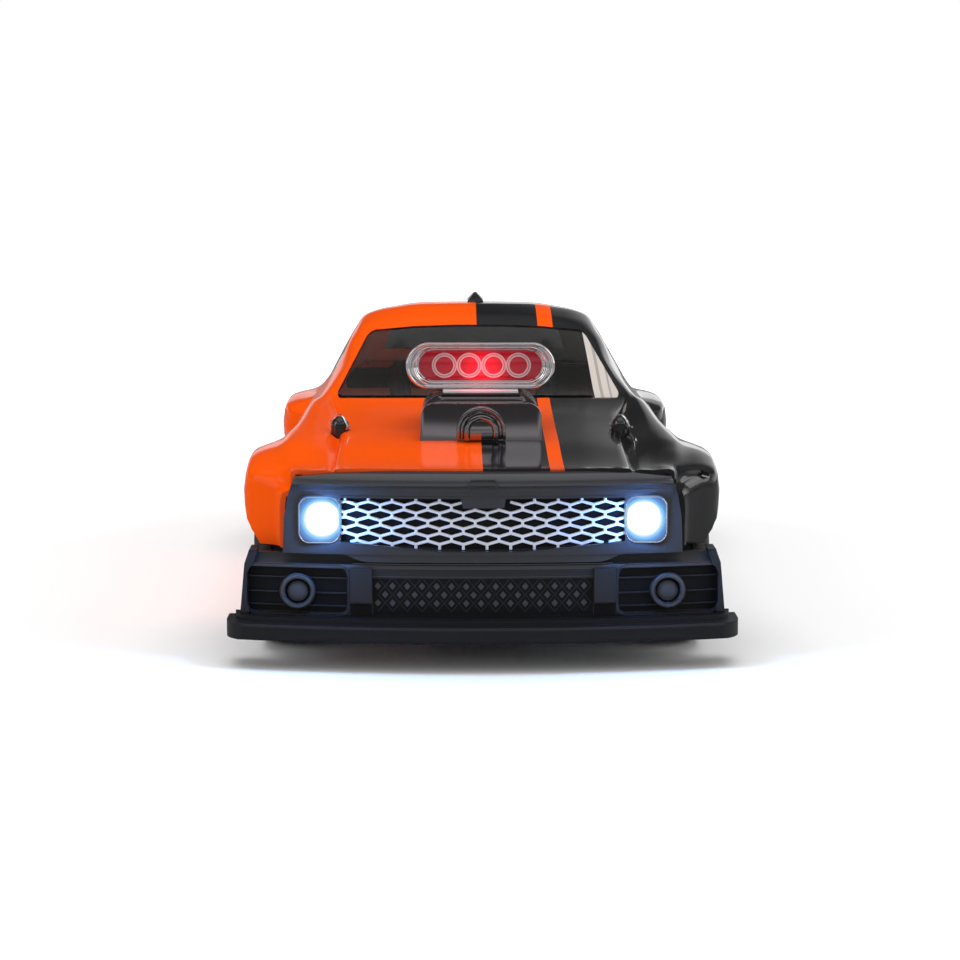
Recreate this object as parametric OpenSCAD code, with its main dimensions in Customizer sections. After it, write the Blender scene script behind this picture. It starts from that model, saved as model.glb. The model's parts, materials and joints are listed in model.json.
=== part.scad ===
// Remote-control drift car, 1:16 class: one moulded shell over a rear-drive chassis.
// Millimetres, +Z up, the nose points to -Y, the tyres stand on z = 0.

/* [Wheels and stance] */
// Distance between the front and rear axles
wheelbase = 174; // [168:1:180]
// Place of the front axle along the car
front_axle_y = -92; // [-94:1:-90]
// Distance between the two tyre centres of one axle
track = 100; // [98:1:102]
// Tyre outside diameter
tyre_d = 46; // [44:1:47]
// Tyre width
tyre_w = 20; // [17:1:21]
// Rim seat diameter, where the tyre sits
rim_d = 31; // [28:1:34]
// Spokes in a wheel
spokes = 5; // [5:1:8]

/* [Shell] */
// Wall of the moulded body shell
shell_t = 1.3; // [1:0.1:1.6]
// Half width over the front flares
flare_half = 62.6; // [61.6:0.2:64]
// Half width of the doors
door_half = 54; // [53:0.5:56]
// Half width over the rear flares
rear_flare = 63.6; // [62.6:0.2:65]
// Height of the roof crest
roof_z = 83.8; // [82:0.2:86]
// Height of the hood at its front edge
hood_z = 51.4; // [50.5:0.1:52]
// Height of the sills between the wheels
sill_z = 13; // [12:0.5:16]
// Rear end of the shell
tail_y = 136; // [133:0.5:138]
// Wheel opening radius in the shell side
arch_r = 26; // [25:0.5:27]
// Window corner radius
window_r = 2.5; // [1.5:0.5:4]

/* [Nose and bumper] */
// Plan radius of the bowed nose
nose_r = 250; // [230:5:300]
// Front face of the nose panel on the centre line
nose_y = -133.5; // [-134.5:0.5:-133]
// Front edge of the splitter on the centre line
splitter_y = -140; // [-142:0.5:-138]
// Half width of the splitter
splitter_half = 66.5; // [65:0.5:68]
// Splitter corner radius
splitter_corner = 9; // [6:0.5:10]
// Reach of the rear bumper past the shell
bumper_past_tail = 4; // [2:0.5:8]
// Splitter underside height
splitter_z = 7.6; // [6.5:0.1:8.5]
// Wall of the bumper moulding
bumper_t = 2.4; // [2:0.1:3]
// Half width of the honeycomb grille
grille_half = 36.5; // [35:0.5:37]
// Honeycomb cell pitch across
comb_pitch = 6.07; // [5:0.01:7]
// Honeycomb bar width
comb_bar = 0.55; // [0.4:0.05:0.8]
// Lamp centre across the car
lamp_x = 42; // [41.5:0.1:42.5]
// Lamp housing width
lamp_w = 11.2; // [10.5:0.1:11.4]
// Lamp housing height
lamp_h = 12.6; // [11.5:0.1:13]
// Diamond lattice pitch across in the lower opening
diamond_pitch = 3.64; // [3:0.02:4.5]
// Fog lamp ring outside diameter
fog_d = 8.8; // [7.5:0.1:9.5]

/* [Blower and scoop] */
// Half width of the blower case
case_half = 16.4; // [15:0.1:18]
// Front face of the blower case
case_y = -92; // [-93:0.5:-90]
// Ribs on the blower case
case_ribs = 5; // [3:1:6]
// Half width of the air scoop
scoop_half = 20.6; // [19:0.1:22]
// Height of the scoop mouth
scoop_h = 12.7; // [11.5:0.1:13.5]
// Rings on the scoop lens
rings = 4; // [3:1:4]
// Outside diameter of a scoop ring
ring_d = 7; // [6:0.1:7.4]

/* [Chassis and suspension] */
// Underside of the chassis tub
tub_z = 9; // [8.5:0.1:9.5]
// Tub floor thickness
floor_t = 2.5; // [2:0.1:3]
// Half width of the tub between the wheels
tub_half = 24; // [22:0.5:26]
// Height of the arm pivots
arm_z = 14; // [13.8:0.1:14.6]
// Arm pivot distance from the centre line
arm_in = 14; // [13.5:0.1:14.5]
// Pivot-to-pivot length of an arm
arm_len = 19; // [18.6:0.1:19.4]
// Height of the upper link above the lower arm
link_rise = 18; // [17:0.1:18.5]
// Hinge pin diameter
pin_d = 2.4; // [2:0.1:2.6]
// Free play between a pin and its eye
pin_play = 0.1; // [0.08:0.01:0.2]
// Side play between moving plates
side_play = 0.3; // [0.2:0.05:0.4]
// Damper body diameter
damper_d = 6.4; // [5.8:0.1:6.8]
// Spring mean diameter
spring_d = 7.8; // [7.5:0.1:8.2]
// Spring wire diameter
wire_d = 1; // [0.8:0.05:1.1]
// Turns in a spring
spring_turns = 5; // [4:1:6]

/* [Steering] */
// Knuckle arm length, from king pin to drag pin
steer_r = 14; // [13.5:0.1:14.5]
// Distance from the wheel centre to the king pin
scrub = 14; // [13.6:0.1:14.4]
// Underside of the sliding drag bar
bar_z = 30; // [29.5:0.1:30.5]
// Drag bar thickness
bar_t = 2; // [1.6:0.1:2.4]

/* [Driveline] */
// Teeth on the axle gear
spur_teeth = 40; // [38:1:40]
// Teeth on the motor pinion
pinion_teeth = 15; // [14:1:15]
// Tooth size
gear_module = 0.6; // [0.58:0.01:0.62]
// Gear face width
gear_w = 5; // [4:0.5:5]
// Motor can diameter
motor_d = 23; // [21:0.5:23]
// Motor can length
motor_l = 24; // [20:0.5:25]

/* [Electrics] */
// Battery length
battery_l = 80; // [60:1:84]
// Battery width
battery_w = 17; // [14:0.5:18]
// Battery height
battery_h = 16.5; // [12:0.5:18]

/* [Hidden] */
rear_axle_y = front_axle_y + wheelbase;
axle_z = tyre_d / 2;
wheel_x = track / 2;
king_x = wheel_x - scrub;
arm_out = arm_in + arm_len;
link_z = arm_z + link_rise;
floor_z = tub_z + floor_t;
clear = 0.2;
bow_y = nose_y + nose_r;
axles = [front_axle_y, rear_axle_y];
function turn(a) = a == front_axle_y ? 1 : -1;

// Smooth value of a guide line at y; the line is a short list of [y, value].
function slope(l, i) = i <= 0 || i >= len(l) - 1 ? 0
    : let (a = (l[i][1] - l[i - 1][1]) / (l[i][0] - l[i - 1][0]),
           b = (l[i + 1][1] - l[i][1]) / (l[i + 1][0] - l[i][0]))
      a * b <= 0 ? 0 : 2 * a * b / (a + b);
function seg(l, y, i = 0) = i >= len(l) - 2 || y < l[i + 1][0] ? i : seg(l, y, i + 1);
function guide(l, y) = y <= l[0][0] ? l[0][1] : y >= l[len(l) - 1][0] ? l[len(l) - 1][1]
    : let (i = seg(l, y), h = l[i + 1][0] - l[i][0], t = (y - l[i][0]) / h,
           m0 = slope(l, i) * h, m1 = slope(l, i + 1) * h)
      l[i][1] * (1 + 2 * t) * (1 - t) * (1 - t) + m0 * t * (1 - t) * (1 - t)
      + l[i + 1][1] * t * t * (3 - 2 * t) - m1 * t * t * (1 - t);

// Guide lines of the body, front to rear.
shell_front = nose_y + 4.5;
fa = front_axle_y;
ra = rear_axle_y;
side_x = [[shell_front, 52.3], [fa - 33, 52.8], [fa - 31, 55.4], [fa - 29, 59.2], [fa - 26.5, flare_half - 0.9],
    [fa - 20, flare_half - 0.1], [fa - 14, flare_half], [fa + 16, flare_half + 0.2], [fa + 26, flare_half - 1.6],
    [fa + 33, door_half + 0.8], [0, door_half - 0.6], [ra - 33, door_half + 0.4], [ra - 26, rear_flare - 1.8],
    [ra - 16, rear_flare], [ra + 16, rear_flare], [ra + 28, rear_flare - 4.4], [tail_y - 8, 53.6], [tail_y, 51]];
corner_z = [[shell_front, 45.5], [fa - 33, 46.2], [fa - 28, 48.8], [fa - 20, 50.2], [fa, 51.8], [fa + 18, 51.2],
    [fa + 34, 48], [0, 47], [ra - 34, 47.6], [ra - 22, 49.6], [ra, 50.4], [ra + 18, 49.8], [tail_y, 48]];
fold_x = [[shell_front, 49.5], [fa - 10, 51.2], [fa, 52], [fa + 32, 51.4], [0, 51.5],
    [ra - 34, 51.6], [ra, 52.6], [ra + 28, 50.5], [tail_y, 47]];
fold_z = [[shell_front, 50.2], [fa - 10, 53.6], [fa, 55], [fa + 32, 56.2], [0, 55.6],
    [ra - 34, 54.6], [ra, 53.6], [tail_y, 52.2]];
belt_x = [[shell_front, 44], [fa, 45.5], [-60, 47.6], [-28, 46.4], [20, 47.6], [ra, 47],
    [ra + 28, 44.5], [tail_y, 42.5]];
belt_z = [[shell_front, 50.6], [fa - 12, 52.8], [fa, 54.4], [-60, 57.6], [-28, 60.6], [20, 60.4],
    [ra, 60.6], [ra + 28, 59], [tail_y, 57.6]];
roof_x = [[shell_front, 38.5], [fa, 38.8], [-50, 40], [-28, 43.4], [0, 40.2], [22, 38.8], [45, 38.6],
    [70, 38.2], [ra + 12, 39], [tail_y - 18, 40.5], [tail_y, 38.5]];
roof_rim = [[shell_front, 50.4], [-100, 51.6], [-74, 53.6], [-50, 56.6], [-28, 60.4], [0, 68.6],
    [22, 75], [45, 76.6], [65, 75], [ra + 12, 67.6], [tail_y - 18, 60.2], [tail_y, 58]];
crown = [[shell_front, hood_z], [-92, 54.6], [-60, 57], [-28, 60.4], [0, 70.9], [18, 77.3],
    [32, 81.6], [46, roof_z], [60, roof_z - 0.2], [76, roof_z - 3.6], [tail_y - 24, 62], [tail_y - 16, 61],
    [tail_y - 4, 62.4], [tail_y, 61.6]];
rim_round = [[shell_front, 1], [-28, 1.2], [0, 4], [22, 6.6], [60, 6.6], [ra + 12, 4], [tail_y - 20, 1.2],
    [tail_y, 1]];

// Right half of the cross-section at y, from the sill up to the crown.
function half_ring(y) = let (sx = guide(side_x, y), cz = guide(corner_z, y),
        fx = guide(fold_x, y), fz = guide(fold_z, y), bx = guide(belt_x, y), bz = guide(belt_z, y),
        rx = guide(roof_x, y), rz = guide(roof_rim, y), tz = guide(crown, y), q = guide(rim_round, y),
        k = max(0, tz - rz))
    [[sx - 0.5, sill_z], [sx + 0.1, 24], [sx + 0.1, 36], [sx, cz - 3.8], [sx - 0.9, cz - 1.2], [sx - 3, cz],
     [(sx - 3 + fx) / 2, (cz + fz) / 2 + 0.4], [fx, fz], [bx, bz], [(bx * 2 + rx) / 3, (bz * 2 + rz) / 3 + 0.2],
     [(bx + 2 * rx) / 3, (bz + 2 * rz) / 3 + 0.3], [rx, rz], [rx - q * 0.32, rz + k * 0.42],
     [rx - q, rz + k * 0.68], [rx - q * 1.7 - 1.5, rz + k * 0.83], [rx * 0.55, rz + k * 0.93],
     [rx * 0.27, rz + k * 0.985], [0, tz]];
function nrm(v) = v / max(0.0001, norm(v));
// The same half cross-section moved in by t along its own normals.
function moved_in(r, t) = [for (i = [0:len(r) - 1])
    let (a = r[max(0, i - 1)], b = r[min(len(r) - 1, i + 1)],
         d = i == len(r) - 1 ? [-1, 0] : i == 0 ? [0, 1] : nrm(b - a), n = [d[1], -d[0]])
    [max(0, r[i][0] - t * n[0]), r[i][1] - t * n[1] - (i == 0 ? t : 0)]];
function bowed(x, y) = y + 5 * pow(x / 50, 2) * max(0, min(1, (fa - 8 - y) / 30));
function at_sill(p, below) = [p[0], sill_z - below];
function full_ring(y, t, below) = let (h = moved_in(half_ring(y), t), n = len(h),
        r = [for (i = [0:n - 1]) i == 0 ? at_sill(h[0], below) : h[i]])
    concat([for (p = r) [p[0], bowed(p[0], y), p[1]]],
           [for (i = [n - 2:-1:0]) [-r[i][0], bowed(r[i][0], y), r[i][1]]]);
shell_steps = concat([for (i = [0:1:9]) shell_front + i * 1.9],
    [for (i = [1:31]) shell_front + 17.1 + i * (tail_y - shell_front - 25.1) / 32],
    [for (i = [0:1:4]) tail_y - 8 + i * 2]);
module loft(t, below, y0, y1) {
    ys = concat([y0], [for (y = shell_steps) if (y > y0 + 0.3 && y < y1 - 0.3) y], [y1]);
    hoops = [for (y = ys) full_ring(y, t, below)];
    k = len(hoops[0]);
    n = len(hoops);
    polyhedron([for (r = hoops) for (p = r) p],
        concat([for (j = [0:n - 2]) for (i = [0:k - 1]) for (f = [0, 1]) let (b = (i + 1) % k)
                f == 0 ? [j * k + i, j * k + b, (j + 1) * k + b]
                       : [j * k + i, (j + 1) * k + b, (j + 1) * k + i]],
               [[for (i = [k - 1:-1:0]) i], [for (i = [0:k - 1]) (n - 1) * k + i]]),
        convexity = 6);
}
module skin() {
    difference() {
        loft(0, 0, shell_front, tail_y);
        loft(shell_t, 4, shell_front - 6, tail_y - shell_t);
    }
}

// A rod between two points, and a prism with one rod on each corner.
module rod(a, b, r) {
    hull() {
        translate(a) rotate([90, 0, 0]) cylinder(r = r, h = 0.02, center = true, $fn = 16);
        translate(b) rotate([90, 0, 0]) cylinder(r = r, h = 0.02, center = true, $fn = 16);
    }
}
module front_prism(pts, y0, y1, g) {
    hull() for (p = pts) rod([p[0], y0, p[1]], [p[0], y1, p[1]], p[2] - g);
}
module side_prism(pts, x0, x1, r) {
    rotate([0, 0, 90]) hull() for (p = pts) rod([p[0], -x0, p[1]], [p[0], -x1, p[1]], r);
}

// Window outlines; each is moved in by g for the glazing.
wr = window_r;
screen_low = 60;
screen_top = 78.4;
module windscreen_cut(g) {
    front_prism([for (s = [-1, 1]) for (p = [[42.6, screen_low, 1.2], [33.6, screen_top - 1.6, 4.2],
        [20, screen_top - 0.4, 3], [7, screen_top, 3]]) [s * (p[0] - p[2]), p[1] + (p[1] > 65 ? -1 : 1) * p[2], p[2]]],
        -50, 27, g);
}
module side_cut(s, g) {
    x0 = s * 30;
    x1 = s * 56;
    side_prism([[4 + wr, 62.6 + wr], [19, 72.6 - wr], [38 - wr, 74.2 - wr], [38 - wr, 62.6 + wr]], x0, x1, wr - g);
    side_prism([[43 + wr, 62.6 + wr], [43 + wr, 74.2 - wr], [58, 73 - wr], [74, 62.6 + wr]], x0, x1, wr - g);
}
module rear_cut(g) {
    translate([0, 0, 60]) rotate([90, 0, 0])
        front_prism([[-32 + wr, 32 - tail_y + wr, wr], [32 - wr, 32 - tail_y + wr, wr], [27 - wr, -80 - wr, wr],
            [-27 + wr, -80 - wr, wr]], 0, 30, g);
}
module body_shell() {
    color("orangered") difference() {
        skin();
        windscreen_cut(0);
        side_cut(1, 0);
        side_cut(-1, 0);
        rear_cut(0);
        for (a = axles) translate([0, a, axle_z - 1]) rotate([0, 90, 0]) cylinder(r = arch_r, h = 160, center = true, $fn = 48);
        for (a = axles) translate([-80, a - arch_r + 4, -1]) cube([160, 2 * arch_r - 8, axle_z - 4]);
        translate([-80, shell_front - 20, 0]) cube([160, fa - 18 - shell_front + 20, 30.3]);
        translate([-80, ra + 24, 0]) cube([160, 60, 26]);
        translate([-case_half - clear, case_y - clear, 48]) cube([2 * case_half + 2 * clear, case_l + 2 * clear, 14]);
        for (p = post_spots) translate([p[0], p[1], 40]) cylinder(r = post_r + clear, h = 40, $fn = 24);
    }
}
module windows() {
    color("dimgray", 0.5) intersection() {
        skin();
        union() {
            windscreen_cut(0.15);
            side_cut(1, 0.15);
            side_cut(-1, 0.15);
            rear_cut(0.15);
        }
    }
}
case_l = 34.5;
post_r = 2.5;
front_post_y = fa + 18;
rear_post_y = tail_y - 16;
post_spots = [[39, front_post_y], [-39, front_post_y], [26, rear_post_y], [-26, rear_post_y]];

// Flat outlines.
module round_rect(w, h, r) {
    square([w - 2 * r, h], center = true);
    square([w, h - 2 * r], center = true);
    for (i = [-1, 1]) for (j = [-1, 1]) translate([i * (w / 2 - r), j * (h / 2 - r)]) circle(r = r, $fn = 24);
}
module stadium(half, r) {
    square([2 * (half - r), 2 * r], center = true);
    for (i = [-1, 1]) translate([i * (half - r), 0]) circle(r = r, $fn = 40);
}
// Stands an outline up in the XZ plane, from y back by depth.
module upright(y, depth) {
    translate([0, y + depth, 0]) rotate([90, 0, 0]) linear_extrude(depth) children();
}
// A bowed slab: everything between two distances from the centre of the nose bow.
module bow_band(r0, r1, z0, z1) {
    translate([0, bow_y, z0]) difference() {
        cylinder(r = r1, h = z1 - z0, $fn = 96);
        translate([0, 0, -1]) cylinder(r = r0, h = z1 - z0 + 2, $fn = 96);
    }
}
module bow_profile(pts) {
    translate([0, bow_y, 0]) rotate_extrude($fn = 96) polygon(pts);
}

// Nose panel with the grille recess and the two lamp openings.
lamp_z = 38.4;
grille_top = 44.2;
grille_side = 32.8;
grille_low = 30.6;
panel_low = 29.6;
recess_r = nose_r - 2.4;
grille_t = 1.1;
module grille_outline(g) {
    h = grille_half - g;
    difference() {
        polygon([[-h, grille_side + g], [-10, grille_low + g], [10, grille_low + g], [h, grille_side + g],
            [h, grille_top - g], [-h, grille_top - g]]);
        polygon([[-6.8 - g, 50], [-5.2 - g, 42 - g], [5.2 + g, 42 - g], [6.8 + g, 50]]);
    }
}
module nose_panel() {
    color("black") difference() {
        union() {
            intersection() {
                bow_profile([[nose_r - 4.2, panel_low], [nose_r, panel_low], [nose_r, 47.2], [nose_r - 0.5, 48.8],
                    [nose_r - 2.2, 50.2], [nose_r - 4.2, 50.9]]);
                upright(nose_y - 2, 20) polygon([[-52, 20], [52, 20], [51.2, 39], [50.2, 44.4], [48.6, 49.2],
                    [38, 50.3], [20, 51], [-20, 51], [-38, 50.3], [-48.6, 49.2], [-50.2, 44.4], [-51.2, 39]]);
            }
            intersection() {
                bow_band(nose_r - 5.8, nose_r - 4, panel_low, 48.4);
                upright(nose_y, 20) polygon([[-50, 20], [50, 20], [50, 40.5], [47, 43.5], [46.6, 47.6],
                    [36, 48.4], [-36, 48.4], [-46.6, 47.6], [-47, 43.5], [-50, 40.5]]);
            }
        }
        intersection() {
            bow_band(recess_r, nose_r + 3, 20, 60);
            upright(nose_y - 6, 30) grille_outline(0);
        }
        for (s = [-1, 1]) translate([s * lamp_x, 0, lamp_z]) upright(nose_y - 6, 30) round_rect(lamp_w, lamp_h, 3);
    }
}
comb_row = 1.95;
comb_side = 1.2;
module comb_cell() {
    a = comb_pitch / 2 - comb_bar / 2;
    b = comb_side / 2 - comb_bar * 0.12;
    c = comb_row - comb_side / 2 - comb_bar * 0.5;
    polygon([[-a, -b], [0, -c], [a, -b], [a, b], [0, c], [-a, b]]);
}
module upper_grille() {
    color("white") intersection() {
        bow_band(recess_r + 0.15, recess_r + 0.15 + grille_t, 20, 60);
        upright(nose_y - 6, 30) difference() {
            grille_outline(0.15);
            for (j = [0:7]) for (i = [-7:7])
                translate([(i + (j % 2) / 2) * comb_pitch, grille_low - 0.3 + j * comb_row]) comb_cell();
        }
    }
}
lamp_back = nose_y + 10.2;
lamp_front = nose_y + 3.9;
module headlight_buckets() {
    headlight_lamps();
    color("silver") for (s = [-1, 1]) translate([s * lamp_x, 0, lamp_z]) difference() {
        upright(lamp_front, lamp_back - lamp_front) round_rect(lamp_w - 0.3, lamp_h - 0.3, 2.85);
        translate([0, lamp_front - 0.01, 0]) rotate([-90, 0, 0]) cylinder(r1 = 5, r2 = 2.6, h = 4.6, $fn = 40);
        translate([0, lamp_front, 0]) rotate([-90, 0, 0]) cylinder(r = 1.3, h = 5.6, $fn = 24);
    }
}
module headlight_lamps() {
    color("lightcyan") for (s = [-1, 1]) translate([s * lamp_x, lamp_front, lamp_z]) {
        translate([0, 2.4, 0]) rotate([-90, 0, 0]) cylinder(r = 1.25, h = 3.2, $fn = 24);
        translate([0, 2.4, 0]) sphere(r = 1.25, $fn = 24);
    }
}
module headlight_lenses() {
    color("white", 0.5) for (s = [-1, 1]) translate([s * lamp_x, 0, lamp_z]) {
        upright(lamp_front - 1.1, 1.1) round_rect(lamp_w - 0.3, lamp_h - 0.3, 2.85);
    }
}

// Front bumper: splitter lip, stepped sill, face with bays, satin upper band and side returns.
lip_r = bow_y - splitter_y;
face_r = nose_r - 1.6;
face_low = 13.2;
face_top = 29.2;
bay_x = 48;
bay_z = 20.6;
mesh_half = 28.3;
mesh_z = 19;
mesh_h = 8.4;
module lip_plan(half, r) {
    x = half - splitter_corner;
    y = bow_y - sqrt(r * r - x * x) + splitter_corner;
    linear_extrude(40) {
        translate([-half, y]) square([2 * half, -112.5 - y]);
        translate([-x, y - 40]) square([2 * x, 41]);
        for (s = [-1, 1]) translate([s * x, y]) circle(r = splitter_corner, $fn = 48);
    }
}
module front_bumper() {
    fog_lamps();
    lower_grille();
    color("dimgray") difference() {
        union() {
            intersection() {
                bow_profile([[face_r - 3.4, splitter_z], [lip_r - 0.6, splitter_z], [lip_r, splitter_z + 0.8],
                    [lip_r, 11.2], [lip_r - 0.6, 11.8], [face_r - 3.4, 11.8]]);
                lip_plan(splitter_half, lip_r);
            }
            intersection() {
                bow_profile([[face_r - 3.4, 11.7], [lip_r - 4.3, 11.7], [lip_r - 4.5, 13], [face_r - 3.4, 13.3]]);
                lip_plan(splitter_half - 2, lip_r - 4.3);
            }
            intersection() {
                bow_profile([[face_r - bumper_t, face_low], [face_r, face_low], [face_r, 26.6],
                    [face_r - 0.7, 27], [face_r - 1.3, 28], [face_r - 1.5, face_top], [face_r - 3.7, face_top],
                    [face_r - 3.7, 26.8], [face_r - bumper_t, 26]]);
                upright(-140, 24) polygon([[-63, 13], [63, 13], [61.6, 26.3], [60.6, 30], [-60.6, 30], [-61.6, 26.3]]);
            }
            for (s = [-1, 1]) {
                translate([s * 61.6, 0, 0]) side_return(s);
                translate([s * (splitter_half - 3.2), -121, (splitter_z + 11.8) / 2])
                    cube([6.4, 8, 11.8 - splitter_z], center = true);
            }
            for (s = [-1, 1]) intersection() {
                bow_band(face_r - 0.5, face_r + 1.1, 17, 25.8);
                translate([s * 31.4, -130, 21]) cube([5.6, 20, 20], center = true);
            }
            for (s = [-1, 1]) translate([s * 16 - 5, -131, floor_z + 0.05]) cube([10, 131 + fa + boss_front - 3.1, 2.4]);
        }
        intersection() {
            bow_band(face_r - 1.5, face_r + 3, 10, 40);
            upright(-140, 24) translate([0, mesh_z]) square([2 * mesh_half, mesh_h], center = true);
        }
        for (s = [-1, 1]) intersection() {
            bow_band(face_r - 1.4, face_r + 3, 10, 40);
            upright(-140, 24) difference() {
                translate([s * bay_x, bay_z]) round_rect(24.4, 11.4, 2);
                for (i = [-2:2]) translate([s * bay_x, bay_z + i * 2]) square([30, 0.7], center = true);
            }
        }
        for (s = [-1, 1]) translate([s * bay_x, -122, bay_z - 0.7]) rotate([90, 0, 0]) cylinder(r = fog_d / 2 + 0.1, h = 20, $fn = 40);
    }
}
module side_return(s) {
    translate([0, -117, 0]) rotate([90, 0, 0]) linear_extrude(8.2) polygon([[s * 1.4, 13], [s * 0.2, 26.3],
        [-s * 1.1, 30], [-s * 3.2, 30], [-s * 2, 26], [-s * 0.8, 13]]);
}
module lower_grille() {
    color("darkgray") intersection() {
        bow_band(face_r - 1.4, face_r - 0.5, 10, 40);
        upright(-140, 24) translate([0, mesh_z]) difference() {
            square([2 * mesh_half - 0.3, mesh_h - 0.3], center = true);
            for (j = [-3:3]) for (i = [-9:9]) translate([(i + (j % 2) / 2) * diamond_pitch, j * 2.05])
                polygon([[-1.25, 0], [0, -1.45], [1.25, 0], [0, 1.45]]);
        }
    }
}
module fog_lamps() {
    color("gray") for (s = [-1, 1]) translate([s * bay_x, 0, bay_z - 0.7]) {
        translate([0, fog_back - 3.3, 0]) rotate([-90, 0, 0]) difference() {
            cylinder(r = fog_d / 2, h = 3.2, $fn = 40);
            translate([0, 0, -1]) cylinder(r = fog_d / 2 - 1.5, h = 2.6, $fn = 40);
        }
        translate([0, fog_back - 3, 0]) rotate([-90, 0, 0]) cylinder(r1 = 2.5, r2 = 2.8, h = 1.5, $fn = 32);
    }
}
fog_back = bow_y - sqrt(pow(face_r, 2) - pow(bay_x, 2)) + 0.9;

// Blower: belt cover, ribbed case, top plate; it stands in a cut-out of the hood.
case_top = 63.9;
case_low = 51;
rib_pitch = 5;
module case_outline(half, top, r) {
    translate([0, (top + case_low) / 2]) square([2 * half, top - case_low - 2 * r], center = true);
    translate([0, case_low + r / 2 + 0.005]) square([2 * half, r + 0.01], center = true);
    translate([0, top - r / 2]) square([2 * (half - r), r], center = true);
    for (s = [-1, 1]) translate([s * (half - r), top - r]) circle(r = r, $fn = 40);
}
module arch_outline(r) {
    translate([0, 57.2]) circle(r = r, $fn = 48);
    translate([-r, 54.9]) square([2 * r, 2.31]);
}
module blower_case() {
    color("slategray") {
        difference() {
            union() {
                upright(case_y, 7) case_outline(case_half, case_top, 3.4);
                upright(case_y + 6.9, case_l - 6.9) case_outline(case_half - 1.4, case_top + 1.2, 5.6);
                for (i = [0:case_ribs - 1]) upright(case_y + 8.2 + i * rib_pitch, 2.8)
                    case_outline(case_half - 0.1, case_top + 2.5, 6.6);
            }
            upright(case_y - 1, 2) arch_outline(5.9);
            translate([-10.8, case_y + 8, plate_top - 1.4]) cube([21.6, 40, 5]);
        }
        difference() {
            union() {
                upright(case_y - 2.6, 3.5) difference() {
                    arch_outline(6.7);
                    arch_outline(5.7);
                }
                upright(case_y - 1.7, 2.8) difference() {
                    arch_outline(5.75);
                    arch_outline(4.6);
                }
                upright(case_y - 4.2, 5.3) difference() {
                    arch_outline(4.65);
                    arch_outline(3.1);
                }
                upright(case_y - 3.4, 4.5) arch_outline(3.15);
            }
            translate([-10, case_y - 6, 45]) cube([20, 5.9, guide(crown, case_y) + clear - 45]);
        }
    }
}
plate_top = 67;
scoop_y = case_y + 16;
scoop_z = plate_top + scoop_h / 2 + 0.1;
module air_scoop() {
    color("silver") {
        difference() {
            translate([0, 0, scoop_z]) union() {
                upright(scoop_y, 2.2) stadium(scoop_half, scoop_h / 2);
                upright(scoop_y + 2.1, 3) stadium(scoop_half - 0.9, scoop_h / 2 - 0.9);
                hull() {
                    upright(scoop_y + 5, 0.1) stadium(scoop_half - 1.2, scoop_h / 2 - 1.2);
                    translate([0, 0, -1.2]) upright(scoop_y + 24, 0.1) stadium(scoop_half - 6, scoop_h / 2 - 2.6);
                }
            }
            translate([0, 0, scoop_z]) {
                upright(scoop_y - 1, 1.8) stadium(scoop_half - 0.8, scoop_h / 2 - 0.8);
                upright(scoop_y - 1, 4.4) stadium(scoop_half - 1.9, scoop_h / 2 - 1.7);
                upright(scoop_y - 1, 9) stadium(scoop_half - 3.1, scoop_h / 2 - 2.4);
            }
        }
        translate([-10.4, scoop_y - 3, plate_top - 1.4]) cube([20.8, 19, 1.35]);
        translate([-9, scoop_y + 2.3, plate_top - 0.1]) cube([18, 12, 1.7]);
    }
}
module scoop_lens() {
    scoop_rings();
    color("red", 0.6) translate([0, 0, scoop_z]) upright(scoop_y + 1.9, 1.4)
        stadium(scoop_half - 2, scoop_h / 2 - 1.8);
}
module scoop_rings() {
    step = ring_d - 0.16;
    color("lightgray") for (i = [0:rings - 1]) translate([(i - (rings - 1) / 2) * step, scoop_y + 1.88, scoop_z])
        rotate([90, 0, 0]) difference() {
            cylinder(r = ring_d / 2 - 0.1, h = 0.6, $fn = 48);
            translate([0, 0, -1]) cylinder(r = ring_d / 2 - 1.05, h = 2, $fn = 48);
        }
}
module roof_fin() {
    color("black") hull() {
        translate([0, 60, guide(crown, 60) + 0.35]) cube([5.2, 15, 0.3], center = true);
        translate([0, 64.5, guide(crown, 60) + 2.6]) cube([0.9, 5, 0.3], center = true);
    }
}

// Chassis: tub with arm bosses, bulkhead, rear gearbox, towers, body mounts.
boss_front = -11.3;
boss_rear = 6.3;
// Places a child, drawn for the front left corner, on side s of the axle at a.
module at_corner(s, a) {
    translate([0, a, 0]) if (s > 0) {
        if (a == front_axle_y) children(); else mirror([0, 1, 0]) children();
    } else {
        if (a == front_axle_y) mirror([1, 0, 0]) children(); else rotate([0, 0, 180]) children();
    }
}
module pin_y(x, y0, y1, z, r) {
    translate([x, y1, z]) rotate([90, 0, 0]) cylinder(r = r, h = y1 - y0, $fn = 24);
}
pin_r = pin_d / 2;
eye_r = pin_r + pin_play / 2;
module arm_bosses() {
    for (w = [[boss_front - 2.5, boss_front], [boss_rear, boss_rear + 2]]) difference() {
        union() {
            pin_y(arm_in, w[0], w[1], arm_z, 2.8);
            translate([arm_in - 2.8, w[0], tub_z]) cube([5.6, w[1] - w[0], arm_z - tub_z]);
        }
        pin_y(arm_in, w[0] - 1, w[1] + 1, arm_z, eye_r);
    }
}
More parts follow.
